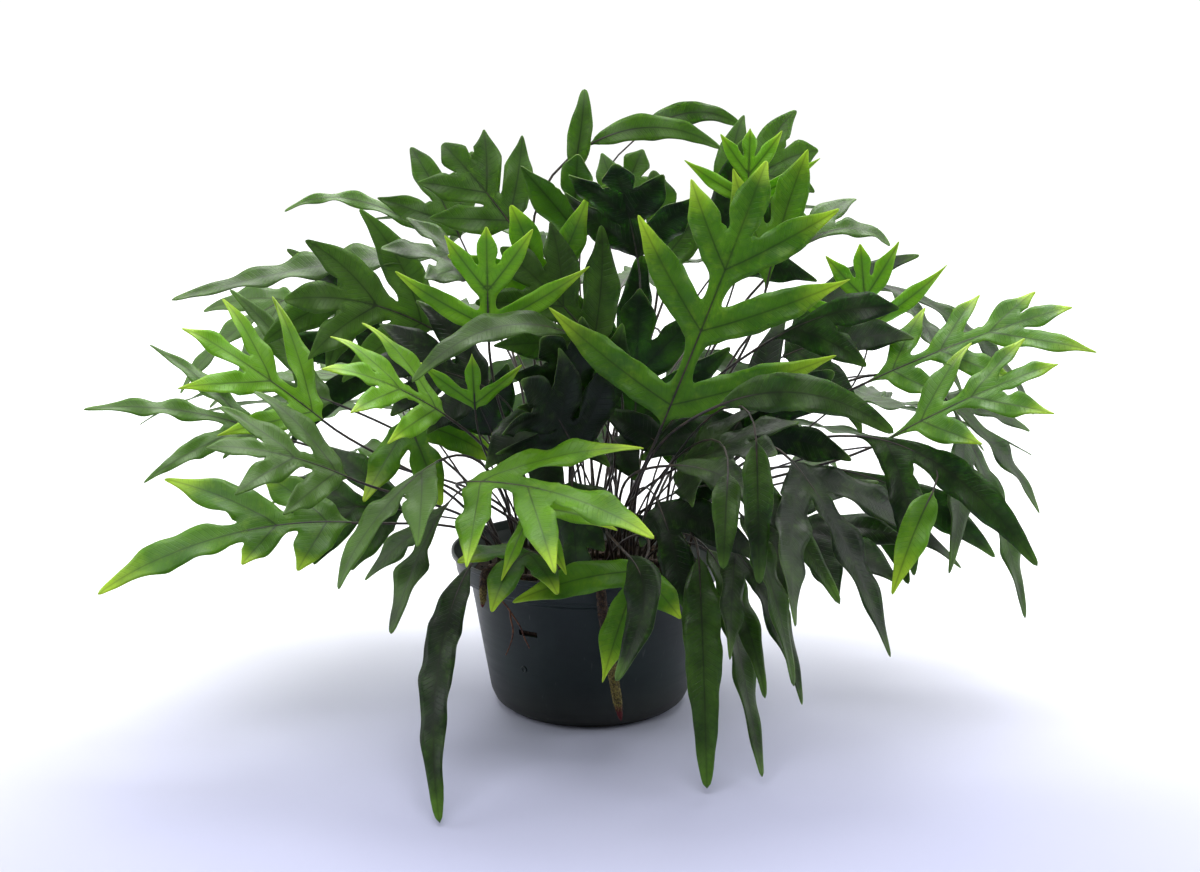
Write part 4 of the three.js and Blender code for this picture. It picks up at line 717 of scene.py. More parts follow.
def join_edges(before, after, way_in, way_out, dip):
    steps = max(3, round((np.linalg.norm(after - before) + dip) / (0.8 * GRAIN)))
    return bezier(before, before - way_in * dip, after - way_out * dip, after, steps)


def blade_side(frond, side):
    row = sorted((lobe for lobe in frond.lobes if lobe.side == side), key=lambda lobe: lobe.start)
    chain = [*row, frond.end]
    neck = np.array([0.0, side * NECK_HALF])
    parts = [neck[None]]
    last = None
    for k, lobe in enumerate(chain):
        rivals = [chain[k - 1]] if k else []
        ahead = [chain[k + 1]] if k + 1 < len(chain) else []
        near = free_edge(frond, lobe, side if lobe.side == 0 else -1, rivals)
        if last is None:
            lead = 0.5 * near[0, 0]
            into = near[0] - 0.4 * lead * rib_way(lobe)
            parts.append(bezier(neck, neck + [lead, 0], into, near[0], 5))
        else:
            dip = SINUS_DEPTH / BEZIER_SHARE + 0.12 * np.linalg.norm(near[0] - last)
            parts.append(join_edges(last, near[0], rib_way(chain[k - 1]), rib_way(lobe), dip))
        parts.append(near)
        if lobe.side:
            tip = np.array(flat_spot(lobe, lobe.length, 0.0))
            far = free_edge(frond, lobe, 1, ahead)
            parts += [tip[None], far[::-1]]
            last = far[0]
    return np.concatenate(parts)


# %% [markdown]
# ## From outline to sheet
# The outline is filled with a triangle net whose edges follow every midrib, because the
# midrib is a crease and has to stay a clean line. Grid rows would be simpler, but they have
# no good way round a sinus; a constrained Delaunay net takes any outline.

# %% Midribs and the spots between them
COLUMNS = [-0.68, -0.36, 0.36, 0.68]
WEB_COLUMN = 0.55
RIB_FLANK = 1.1


def rib_lines(frond):
    spine = np.arange(0.9, frond.end.start + 1e-6, GRAIN)
    lines = [np.stack([spine, 0 * spine], axis=1)] if len(spine) > 1 else []
    for lobe in [*frond.lobes, frond.end]:
        distance = stations_from(1.6, frond, lobe)
        if lobe.side == 0:
            distance = distance[distance + lobe.start > 1.0] + 1e-3
        lines.append(np.stack(flat_spot(lobe, distance, 0 * distance), axis=1))
    return lines


def inner_spots(frond):
    spots = []
    for lobe in [*frond.lobes, frond.end]:
        distance = stations_from(2.5, frond, lobe)
        for across in (-RIB_FLANK, RIB_FLANK):
            spots.append(np.stack(flat_spot(lobe, distance, across + 0 * distance), axis=1))
        for column in COLUMNS:
            width = lobe_width(frond, lobe, distance, np.sign(column))
            spots.append(np.stack(flat_spot(lobe, distance, column * width), axis=1))
    web = np.arange(3.0, max(frond.end.start, 3.1), GRAIN)
    for across in (-WEB_COLUMN * frond.web, WEB_COLUMN * frond.web, -RIB_FLANK, RIB_FLANK):
        spots.append(np.stack([web, across + 0 * web], axis=1))
    return np.concatenate(spots)


# %% Spots kept apart from each other and from the outline
def gap_to_outline(spots, outline):
    start, end = outline, np.roll(outline, -1, axis=0)
    run = end - start
    rel = spots[:, None] - start[None]
    share = np.clip((rel * run).sum(-1) / np.maximum((run * run).sum(-1), 1e-9), 0, 1)
    return np.linalg.norm(rel - share[..., None] * run, axis=-1).min(axis=1)


def thin_out(kept, spots, room):
    cells = {}
    for spot in kept:
        cells.setdefault((int(spot[0] // room), int(spot[1] // room)), []).append(spot)
    added = []
    for spot in spots:
        x, y = int(spot[0] // room), int(spot[1] // room)
        near = (other for i in (-1, 0, 1) for j in (-1, 0, 1) for other in cells.get((x + i, y + j), ()))
        if all((spot[0] - other[0]) ** 2 + (spot[1] - other[1]) ** 2 > room * room for other in near):
            cells.setdefault((x, y), []).append(spot)
            added.append(spot)
    return added


def inside(spots, outline):
    start, end = outline, np.roll(outline, -1, axis=0)
    x, y = spots[:, :1], spots[:, 1:]
    spans = (start[:, 1] > y) != (end[:, 1] > y)
    rise = np.where(end[:, 1] == start[:, 1], 1, end[:, 1] - start[:, 1])
    cross = start[:, 0] + (y - start[:, 1]) / rise * (end[:, 0] - start[:, 0])
    return (spans & (x < cross)).sum(axis=1) % 2 == 1


# %% The filled outline
RIB_CLEAR, SPOT_CLEAR, SPOT_ROOM = 0.5, 0.9, 1.0


def fill_blade(frond):
    left, right = blade_side(frond, -1), blade_side(frond, 1)
    tip = np.array([[frond.end.start + frond.end.length, 0.0]])
    outline = np.concatenate([left, tip, right[::-1]])
    ribs = [line[gap_to_outline(line, outline) > RIB_CLEAR] for line in rib_lines(frond)]
    points = [tuple(spot) for spot in outline]
    edges = []
    for line in ribs:
        first = len(points)
        points += [tuple(spot) for spot in line]
        edges += [(first + k, first + k + 1) for k in range(len(line) - 1)]
    spots = inner_spots(frond)
    spots = spots[gap_to_outline(spots, outline) > SPOT_CLEAR]
    points += [tuple(spot) for spot in thin_out(points, spots, SPOT_ROOM)]
    loop = list(range(len(outline)))
    net = delaunay_2d_cdt([Vector(p) for p in points], edges, [loop], 1, 1e-4, False)
    flat = np.array([tuple(p) for p in net[0]])
    faces = np.array(net[2])
    faces = faces[inside(flat[faces].mean(axis=1), outline)]
    used, faces = np.unique(faces, return_inverse=True)
    return flat[used], faces.reshape(-1, 3)


# %% [markdown]
# ## From flat sheet to living blade
# The flat net is carried up onto the frond's arched spine. A blade is gently guttered along
# each midrib, its margins are ruffled, and each lobe keeps the bend that its solid has.
# Modifiers could wave it, but only a formula keeps the leaf in the space that it was given.

# %% The lift of every spot of the sheet
FINE_RUFFLE = 0.7
FINE_LENGTH = 5.2
CURL_FROM = 0.62


def gutter(across):
    return BLADE_GUTTER * (np.sqrt(across ** 2 + 1.4) - 1.18)


def fine_lift(lobe, distance, across):
    side_half = np.clip(np.abs(across) / lobe.half, 0, 1.2)
    edge = side_half ** 1.6
    bend = lobe.bend * distance ** 2 / lobe.length
    share = np.clip(distance / lobe.length, 0, 1.1)
    curl = lobe.curl * lobe.length * np.maximum(share - CURL_FROM, 0) ** 2
    phase = lobe.phase[2] + 2.2 * (across > 0)
    fine = FINE_RUFFLE * np.sin(distance / (FINE_LENGTH * lobe.pace) + phase)
    return gutter(across) + bend + curl + edge * (margin_wave(lobe, distance, across) + fine)


# %% What each spot of the sheet knows of itself
NOT_MINE, TOO_FAR = 99, 50
END_FADE, LOBE_FADE = 14, 9
MAIN_RIB, SIDE_RIB = 0.85, 0.8


def owners_of(frond, u, v):
    lobes = [*frond.lobes, frond.end]
    score = []
    for lobe in lobes:
        distance, across = lobe_spot(lobe, u, v)
        apart = np.abs(across) / lobe.half
        wrong = (distance < 0) | ((v * lobe.side < 0) if lobe.side else (u < lobe.start))
        score.append(np.where(wrong, NOT_MINE, apart))
    best = np.argmin(score, axis=0)
    return np.where(np.min(score, axis=0) > TOO_FAR, len(lobes) - 1, best)


def sheet_facts(frond, flat):
    u, v = flat[:, 0], flat[:, 1]
    lobes = [*frond.lobes, frond.end]
    owner = owners_of(frond, u, v)
    base = gutter(v)
    end = frond.end
    distance = np.maximum(u - end.start, 0)
    rise = smooth_step(0, END_FADE, u - end.start)
    lift = base + rise * (fine_lift(end, distance, v) - base)
    rib = np.exp(-(v / MAIN_RIB) ** 2) * np.clip(1.15 - 0.75 * u / frond.stance.length, 0, 1)
    share = distance / end.length
    vein = np.stack([u, np.abs(v), 0 * u], axis=1)
    margin = np.abs(v) / end.half
    for k, lobe in enumerate(lobes[:-1]):
        mine = owner == k
        distance, across = lobe_spot(lobe, u[mine], v[mine])
        weight = smooth_step(0.75 * frond.web, frond.web + LOBE_FADE, np.abs(v[mine]))
        lift[mine] += weight * (fine_lift(lobe, distance, across) - lift[mine])
        along = np.clip(distance / lobe.length, 0, 1)
        rib[mine] = np.maximum(rib[mine], np.exp(-(across / SIDE_RIB) ** 2) * (0.9 - 0.5 * along))
        outer = smooth_step(0.8 * frond.web, 1.3 * frond.web, np.abs(v[mine]))
        share[mine] += outer * (along - share[mine])
        vein[mine] = np.stack([distance, np.abs(across), 0 * distance], axis=1)
        margin[mine] = np.abs(across) / lobe.half
    return lift, rib, np.clip(share, 0, 1), np.clip(margin, 0, 1), vein


# %% [markdown]
# ### The stalk and the blade's main rib
# On the living fern the dark stalk runs on into the blade as its main rib, ever thinner.
# One rod does both, swept along the stalk's curve and then along the spine. It could stop
# at the neck, but then the joint would show as a step.

# %% Stalk and main rib as one wiry rod
STALK_STEPS, STALK_SIDES = 17, 8
RIB_END = 0.55
RIB_SINK = 0.25
YOUNG_STALK = 0.7


def rod_along(places, alongs, radii, sides, start_right):
    right = start_right
    rings = []
    for place, along, radius in zip(places, alongs, radii):
        right = unit(right - along * np.dot(right, along))
        upper = np.cross(right, along)
        turns = 2 * math.pi * np.arange(sides) / sides
        rings.append(place + radius * (np.cos(turns)[:, None] * right + np.sin(turns)[:, None] * upper))
    points = np.concatenate([*rings, [places[0], places[-1]]])
    faces = []
    last = len(rings) * sides - sides
    for k in range(sides):
        after = (k + 1) % sides
        for ring in range(0, last, sides):
            faces.append((ring + k, ring + after, ring + sides + after, ring + sides + k))
        faces.append((last + sides, after, k))
        faces.append((last + sides + 1, last + k, last + after))
    return points, faces


def stalk_rod(frond):
    stance = frond.stance
    shares = np.linspace(0, 1, STALK_STEPS)
    places, alongs = stalk_curve(frond, stance, shares)
    radii = STALK_RADIUS * (1.12 - 0.2 * shares) * (YOUNG_STALK if frond.neighbour else 1)
    places = np.concatenate([[frond.root - STALK_DEPTH * UP], places])
    alongs = np.concatenate([[UP], alongs])
    radii = np.concatenate([[radii[0]], radii])
    reach = frond.end.start + RIB_END * frond.end.length
    run = np.arange(GRAIN, reach, 1.6 * GRAIN)
    lift = sheet_facts(frond, np.stack([run, 0 * run], axis=1))[0]
    ribs = blade_place(stance, run, 0 * run, lift - RIB_SINK)
    _, along, _, _ = spine_frame(stance, run / stance.length)
    taper = STALK_RADIUS * (0.9 - 0.68 * run / reach)
    _, _, _, right = spine_frame(stance, 0.0)
    return rod_along(np.concatenate([places, ribs]), np.concatenate([alongs, along]),
                     np.concatenate([radii, taper]), STALK_SIDES, right)


# %% [markdown]
# ### One whole frond
# The sheet gets an upper and a lower face and a rim between them, thin at the margin and
# swollen under each rib, as a leathery leaf is. What the finish needs to know, such as the
# distance from the rib, is handed on with the points.

# %% One frond as points, faces and painted facts
EDGE_THICKNESS = 0.5
BODY_THICKNESS = 0.8
RIB_SWELL = 0.5
UPPER_SWELL = 0.08


def grow_blade(frond):
    flat, faces = fill_blade(frond)
    lift, rib, share, margin, vein = sheet_facts(frond, flat)
    middle = blade_place(frond.stance, flat[:, 0], flat[:, 1], lift)
    corners = middle[faces]
    face_normals = np.cross(corners[:, 2] - corners[:, 0], corners[:, 1] - corners[:, 0])
    normals = np.zeros_like(middle)
    for k in range(3):
        np.add.at(normals, faces[:, k], face_normals)
    normals = unit(normals)
    thick = EDGE_THICKNESS + (BODY_THICKNESS - EDGE_THICKNESS) * (1 - margin)
    top = middle + normals * (thick / 2 + UPPER_SWELL * rib)[:, None]
    bottom = middle - normals * (thick / 2 + RIB_SWELL * rib)[:, None]
    count = len(middle)
    upper = faces[:, ::-1]
    lower = faces + count
    directed = {(a, b) for face in faces.tolist() for a, b in zip(face, face[1:] + face[:1])}
    rim = [(a, b, b + count, a + count) for a, b in directed if (b, a) not in directed]
    facts = np.stack([rib, share, 0 * rib], axis=1)
    return (np.concatenate([top, bottom]), [*upper.tolist(), *lower.tolist(), *sorted(rim)],
            np.concatenate([facts, facts]), np.concatenate([vein, vein]), np.repeat([0.0, 1.0], count))


# %% [markdown]
# ## Nodes in one line
# Every finish below is a procedural node tree. Blender's node calls are wordy, so one small
# helper makes a node, sets its sockets and links what comes from other nodes.

# %% Node helper
def node_adder(tree):
    def add(kind, inputs=None, output=0, **settings):
        node = tree.nodes.new(kind)
        for key, value in settings.items():
            setattr(node, key, value)
        for key, value in (inputs or {}).items():
            if isinstance(value, bpy.types.NodeSocket):
                tree.links.new(value, node.inputs[key])
            else:
                node.inputs[key].default_value = value
        return node.outputs[output]

    return add


def new_material(name):
    material = bpy.data.materials.new(name)
    material.use_nodes = True
    tree = material.node_tree
    shader = tree.nodes["Principled BSDF"]

    def feed(key, value):
        tree.links.new(value, shader.inputs[key])

    def hold(**values):
        for key, value in values.items():
            shader.inputs[key.replace("_", " ")].default_value = value

    return material, node_adder(tree), feed, hold


# %% Sums, spans, blends and noises
def maths(add, operation, first, second=0.0):
    return add("ShaderNodeMath", {0: first, 1: second}, operation=operation)


def times(add, first, second):
    return maths(add, "MULTIPLY", first, second)


def plus(add, first, second):
    return maths(add, "ADD", first, second)


def spread(add, value, span, low):
    return plus(add, times(add, value, span), low)


def first_two(add, value):
    split = add("ShaderNodeSeparateXYZ", {0: value}).node
    return split.outputs[0], split.outputs[1]


def bump(add, height, strength, depth):
    return add("ShaderNodeBump", {"Height": height, "Strength": strength, "Distance": depth})


def remap(add, value, low, high):
    return add("ShaderNodeMapRange", {0: value, 1: low, 2: high}, interpolation_type="SMOOTHSTEP")


def blend(add, factor, first, second):
    def colour(value):
        return value if isinstance(value, bpy.types.NodeSocket) else (*value, 1)

    pair = {0: factor, 6: colour(first), 7: colour(second)}
    return add("ShaderNodeMix", pair, output=2, data_type="RGBA")


def noise(add, scale, detail=3.0, vector=None):
    inputs = {"Scale": scale, "Detail": detail, "Roughness": 0.6}
    inputs["Vector"] = vector or add("ShaderNodeTexCoord", output=3)
    return add("ShaderNodeTexNoise", inputs)


def painted(add, name, output=2):
    return add("ShaderNodeAttribute", output=output, attribute_name=name)


# %% [markdown]
# ## The leaf's finish
# The blade is leathery: a waxy upper side with a satin gloss, a dark midrib, fine side
# veins, and a paler, duller underside. Young blades are lime and their points nearly
# yellow. One rule makes both ages. The grown mesh carries what it knows of itself, such as
# the way to the rib and the share to the point, and the finish reads that, so no colour
# slides when the leaf is seen from elsewhere.

# %% The leaf finish
PALE_UNDERSIDE = (0.16, 0.2, 0.12)
RIB_ABOVE, RIB_BELOW = (0.012, 0.016, 0.009), (0.09, 0.11, 0.045)
LEAF_ROUGHNESS = 0.42
VEIN_SLANT, VEIN_PACE = 0.62, 1.35


def leaf_finish(name, deep, fresh, tip, tip_reach):
    material, add, feed, hold = new_material(name)
    rib, share = first_two(add, painted(add, "leaf", 1))
    along, across = first_two(add, painted(add, "vein", 1))
    under, tone = painted(add, "under"), painted(add, "tone")
    cloudy = noise(add, 28.0, 4.0)
    patchy = noise(add, 95.0, 3.0)
    # the tone attribute holds each frond's own tone together with its painted shade and painted light
    mixed = plus(add, times(add, cloudy, 0.55), times(add, tone, 0.62))
    body = blend(add, remap(add, mixed, 0.3, 0.85), deep, fresh)
    body = blend(add, times(add, remap(add, patchy, 0.5, 0.75), 0.1), body, tip)
    to_tip = remap(add, plus(add, share, times(add, cloudy, 0.3)), *tip_reach)
    body = blend(add, to_tip, body, tip)
    rising = maths(add, "SUBTRACT", along, times(add, across, VEIN_SLANT))
    waver = times(add, noise(add, 60.0, 2.0), 2.6)
    stripe = maths(add, "SINE", times(add, plus(add, rising, waver), VEIN_PACE))
    side_vein = times(add, remap(add, stripe, 0.86, 1.0), remap(add, across, 0.8, 3.0))
    body = blend(add, times(add, side_vein, 0.16), body, [0.55 * c for c in deep])
    pale = blend(add, 0.5, fresh, PALE_UNDERSIDE)
    body = blend(add, times(add, under, 0.55), body, pale)
    rib_colour = blend(add, under, RIB_ABOVE, RIB_BELOW)
    body = blend(add, times(add, rib, 0.85), body, rib_colour)
    feed("Base Color", body)
    gloss = spread(add, patchy, 0.16, LEAF_ROUGHNESS - 0.08)
    feed("Roughness", plus(add, gloss, times(add, under, 0.16)))
    fine = noise(add, 700.0, 2.0)
    height = plus(add, times(add, fine, 0.25), times(add, side_vein, -0.55))
    height = plus(add, height, times(add, patchy, 0.5))
    feed("Normal", bump(add, height, 0.5, 0.0009))
    hold(Specular_IOR_Level=0.25, Subsurface_Weight=0.3, Subsurface_Scale=0.003)
    hold(Subsurface_Radius=(0.7, 1.0, 0.2))
    return material


mature_leaf = leaf_finish("mature_leaf", deep=(0.0045, 0.0125, 0.003), fresh=(0.074, 0.16, 0.021),
                          tip=(0.135, 0.29, 0.027), tip_reach=(0.95, 1.35))
young_leaf = leaf_finish("young_leaf", deep=(0.036, 0.115, 0.006), fresh=(0.145, 0.34, 0.014),
                         tip=(0.46, 0.68, 0.035), tip_reach=(0.76, 1.2))
print("leaf finishes:", mature_leaf.name, young_leaf.name)

# %% [markdown]
# ## The stalk's finish
# The stalk is near black and wiry, with a polish that makes it glint, and a little brown
# where its skin has worn. A streaky noise mixes the two and roughens it slightly.

# %% The stalk's finish
STALK_BLACK, STALK_BROWN = (0.011, 0.008, 0.007), (0.05, 0.032, 0.02)


def stalk_finish():
    material, add, feed, hold = new_material("wiry_stalk")
    streak = noise(add, 160.0, 3.0)
    feed("Base Color", blend(add, remap(add, streak, 0.35, 0.7), STALK_BLACK, STALK_BROWN))
    feed("Roughness", spread(add, streak, 0.25, 0.28))
    feed("Normal", bump(add, streak, 0.3, 0.0003))
    hold(Specular_IOR_Level=0.5)
    return material


wiry_stalk = stalk_finish()
print("stalk finish:", wiry_stalk.name, "with", len(wiry_stalk.node_tree.nodes), "nodes")

# %% [markdown]
# ## Young and old, with painted light and shade
# Young fronds are lime and end in sharper points. Fronds deep in the crown get a darker green, which is
# painted shade, and old fronds high in the crown and towards the left get a lighter green, which is painted
# light.
# Each lobe also gets its own small draws of wave, curl and pace, since two equal leaves in
# one pot would look moulded. The draws could be free, but seeded ones repeat on every run.

# %% Young and old, with painted light and shade
LIME_WORDS = ["lime", "young_paw", "pale"]
PAINTED_SHADE_WORDS = ["inner", "deep", "hanging_left"]
YOUNG_WORDS = ["hero_frond", "bright", "lime", "young", "low_paw", "paw_front", "wing_left", "pale"]


def is_young(name):
    return any(word in name for word in YOUNG_WORDS)


def tone_and_painted_light_of(frond, luck):
    name = frond.name
    if name == "hero_frond":
        return 0.25
    if any(word in name for word in LIME_WORDS):
        return 0.85 + 0.3 * luck
    # fronds inside the crown get a darker green: painted shade
    if any(word in name for word in PAINTED_SHADE_WORDS):
        return 0.3 * luck
    if is_young(name):
        return 0.22 + 0.3 * luck
    # mature fronds high in the crown and towards the left get a lighter green: painted light
    high = float(smooth_step(300, 450, frond.neck[2]))
    painted_light_leftward = float(smooth_step(20, 220, -frond.neck[0]))
    return 0.16 + 0.3 * luck + max(0.3 * high, 0.5 * painted_light_leftward)


def pointedness(frond):
    if is_young(frond.name):
        return 0.6
    return 0.4 if frond.lobes else 0.05


draw = make_draw(6007)
for frond in fronds:
    frond.tone = tone_and_painted_light_of(frond, draw())
    for lobe in [*frond.lobes, frond.end]:
        lobe.phase = [2 * math.pi * draw() for _ in range(3)]
        lobe.curl = 0.1 - 0.55 * draw()
        lobe.pace = 0.8 + 0.5 * draw()
        lobe.point = pointedness(frond) + 0.35 * draw()
print("young fronds:", sum(is_young(frond.name) for frond in fronds), "of", len(fronds))

# %% [markdown]
# ## Every frond in its place
# The solid nodes hold a frond each, or a frond with the young neighbour that rises from the
# same spot. Each node gets one fine piece, with the leaf's finish on the blades and the
# stalk's finish on the rods.

# %% Grow and dress the fronds
def make_frond_piece(node, members):
    parts, kinds = [], []
    facts = {"leaf": [], "vein": [], "under": [], "tone": []}
    for frond in members:
        blade, blade_faces, leaf, vein, under = grow_blade(frond)
        rod, rod_faces = stalk_rod(frond)
        parts += [(blade, blade_faces), (rod, rod_faces)]
        kinds += [0] * len(blade_faces) + [1] * len(rod_faces)
        tone = np.full(len(under), frond.tone)
        for name, values in zip(facts, (leaf, vein, under, tone)):
            facts[name] += [values, np.zeros((len(rod), *values.shape[1:]))]
    points, faces = joined(parts)
    piece = mesh_piece(node + "_fine", points * MM, faces)
    for name, values in facts.items():
        paint(piece, name, np.concatenate(values))
    piece.data.materials.append(young_leaf if is_young(node) else mature_leaf)
    piece.data.materials.append(wiry_stalk)
    piece.data.polygons.foreach_set("material_index", kinds)
    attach(piece, "root")
    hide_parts(node)
    "young_frond" if is_young(node) else "mature_frond"
    return piece


faces_grown = 0
for node in dict.fromkeys(frond.node for frond in fronds):
    members = [frond for frond in fronds if frond.node == node]
    faces_grown += len(make_frond_piece(node, members).data.polygons)
print("frond pieces:", len({frond.node for frond in fronds}), "faces:", faces_grown)

# %% [markdown]
# ## The pot
# A nursery pot is thin, blow-moulded plastic: a tapering wall, a rounded foot, a stepped
# collar, three slots for a wire hanger and a ring of drain holes. It is turned on a lathe
# of many sides with rounded corners, and the slots and holes are cut with Boolean
# modifiers, which leaves crisp edges as a trimming tool does.

# %% A lathe
POT_SIDES = 112
CORNER_RADIUS = 2.2


def rounded(profile, radius, steps=4):
    smooth = [profile[0]]
    for before, corner, after in zip(profile, profile[1:], profile[2:]):
        before, corner, after = (np.array(p, dtype=float) for p in (before, corner, after))
        back, ahead = before - corner, after - corner
        reach = min(radius, 0.4 * np.linalg.norm(back), 0.4 * np.linalg.norm(ahead))
        start, end = corner + unit(back) * reach, corner + unit(ahead) * reach
        for t in np.linspace(0, 1, steps):
            smooth.append((1 - t) ** 2 * start + 2 * t * (1 - t) * corner + t * t * end)
    smooth.append(profile[-1])
    return smooth


def ring_spots(radius, height, sides):
    turns = 2 * math.pi * np.arange(sides) / sides
    return [(radius * math.cos(t), radius * math.sin(t), height) for t in turns]


def lathe(profile, sides):
    points = [spot for radius, height in profile for spot in ring_spots(radius, height, sides)]
    faces = []
    for ring in range(len(profile) - 1):
        a, b = ring * sides, (ring + 1) * sides
        faces += [(a + k, a + (k + 1) % sides, b + (k + 1) % sides, b + k) for k in range(sides)]
    faces.append(tuple(reversed(range(sides))))
    faces.append(tuple(range((len(profile) - 1) * sides, len(profile) * sides)))
    return points, faces


# %% The pot's profile
def pot_profile():
    collar_foot = POT_HEIGHT - COLLAR_HEIGHT
    outside = [
        (20, 0), (BASE_RADIUS, 0), (88, 6), (WALL_FOOT_RADIUS, WALL_FOOT_HEIGHT),
        (WALL_TOP_RADIUS, collar_foot - COLLAR_STEP), (COLLAR_FOOT_RADIUS + 2, collar_foot),
        (RIM_RADIUS - 2.5, POT_HEIGHT - 5),
        (RIM_RADIUS, POT_HEIGHT - 4), (RIM_RADIUS, POT_HEIGHT),
    ]
    inside = [
        (RIM_RADIUS - 2.4, POT_HEIGHT), (RIM_RADIUS - 5, collar_foot + 4),
        (WALL_TOP_RADIUS - WALL, collar_foot - 1), (WALL_FOOT_RADIUS - WALL, 20),
        (84, 10), (70, 3), (20, 3),
    ]
    return rounded([*outside, *inside], CORNER_RADIUS)


print("spots of the rounded profile:", len(pot_profile()))

# %% Cutting and merging helpers
SLOT_WIDTH, SLOT_HEIGHT, SLOT_DEPTH, SLOT_Z = 19, 5, 15, 90
SLOT_ANGLES = [-121, -1, 119]
DRAIN_HOLES, DRAIN_RADIUS, DRAIN_RING_RADIUS = 8, 7, 62
ROUND_SIDES = 28


def cut(piece, cutters):
    for cutter in cutters:
        step = piece.modifiers.new("cut", "BOOLEAN")
        step.operation, step.solver, step.object = "DIFFERENCE", "EXACT", cutter
    graph = bpy.context.evaluated_depsgraph_get()
    mesh = bpy.data.meshes.new_from_object(piece.evaluated_get(graph))
    piece.modifiers.clear()
    piece.data = mesh
    for cutter in cutters:
        bpy.data.objects.remove(cutter)


def merge_into(piece, extra):
    mesh = bmesh.new()
    mesh.from_mesh(piece.data)
    mesh.from_mesh(extra.data)
    mesh.to_mesh(piece.data)
    mesh.free()
    bpy.data.objects.remove(extra)


def box_cutter(width, height, depth, place, angle):
    signs = (-1, 1)
    corners = [(x * depth, y * width / 2, z * height / 2) for x in signs for y in signs for z in signs]
    faces = [(0, 1, 3, 2), (4, 6, 7, 5), (0, 4, 5, 1), (2, 3, 7, 6), (0, 2, 6, 4), (1, 5, 7, 3)]
    cutter = mesh_piece("cutter", [np.array(c) * MM for c in corners], faces, smooth=False)
    cutter.location = Vector(place) * MM
    cutter.rotation_euler = (0, 0, angle)
    return cutter


def hole_cutter(index):
    points, faces = lathe([(DRAIN_RADIUS, -5), (DRAIN_RADIUS, 8)], ROUND_SIDES)
    turn = 2 * math.pi * index / DRAIN_HOLES
    cutter = mesh_piece("cutter", np.array(points) * MM, faces, smooth=False)
    cutter.location = Vector((math.cos(turn), math.sin(turn), 0)) * DRAIN_RING_RADIUS * MM
    return cutter


# %% [markdown]
# ### Turning and cutting
# The lathe gives the closed, hollow pot. The cutters stand where the real trimming tool
# would: three boxes for the wire hanger's slots and eight short rods for the drain holes.

# %% Turn the pot, then cut its slots and drain holes
points, faces = lathe(pot_profile(), POT_SIDES)
pot = mesh_piece("pot_fine", np.array(points) * MM, faces)
slots = []
for degrees in SLOT_ANGLES:
    turn, reach = math.radians(degrees), WALL_TOP_RADIUS - 4
    place = (reach * math.cos(turn), reach * math.sin(turn), SLOT_Z)
    slots.append(box_cutter(SLOT_WIDTH, SLOT_HEIGHT, SLOT_DEPTH, place, turn))
bpy.context.view_layer.update()
cut(pot, [*slots, *(hole_cutter(k) for k in range(DRAIN_HOLES))])
print("pot faces:", len(pot.data.polygons), "size:", [round(c, 3) for c in pot.dimensions])

# %% [markdown]
# ### The moulding mark
# Where the mould was filled, the wall keeps a small round mark: a low ring with a dimple.
# It is turned like the pot itself and set against the wall's slope.

# %% The moulding mark
MARK_ANGLE = math.radians(-126)
MARK_HEIGHT = 54
MARK_PROFILE = [(0.8, -1.6), (3.1, -1.6), (3.1, 0.5), (2.6, 0.85), (2.0, 0.75), (1.5, 0.3), (0.8, 0.2)]


def add_mark():
    rise = POT_HEIGHT - COLLAR_HEIGHT - COLLAR_STEP - WALL_FOOT_HEIGHT
    slope = (WALL_TOP_RADIUS - WALL_FOOT_RADIUS) / rise
    reach = WALL_FOOT_RADIUS + slope * (MARK_HEIGHT - WALL_FOOT_HEIGHT)
    points, faces = lathe(MARK_PROFILE, ROUND_SIDES)
    mark = mesh_piece("mark", np.array(points) * MM, faces)
    out = Vector((math.cos(MARK_ANGLE), math.sin(MARK_ANGLE), -slope))
    place = Vector((reach * math.cos(MARK_ANGLE), reach * math.sin(MARK_ANGLE), MARK_HEIGHT)) * MM
    turn = out.to_track_quat("Z", "Y").to_matrix().to_4x4()
    turn.translation = place
    mark.data.transform(turn)
    merge_into(pot, mark)


add_mark()
pot.data.shade_smooth()
pot.data.set_sharp_from_angle(angle=math.radians(32))
print("pot with its moulding mark, faces:", len(pot.data.polygons))

# %% [markdown]
# ### The pot's finish
# The plastic is a black-green with a satin skin. Blow moulding leaves faint rings, and use
# leaves fine scuffs and a dusting of dry peat near the foot.

# %% The pot's finish
PLASTIC_DARK, PLASTIC_LIGHT = (0.005, 0.011, 0.009), (0.011, 0.022, 0.018)
SCUFF, DRY_PEAT = (0.11, 0.12, 0.115), (0.09, 0.075, 0.06)


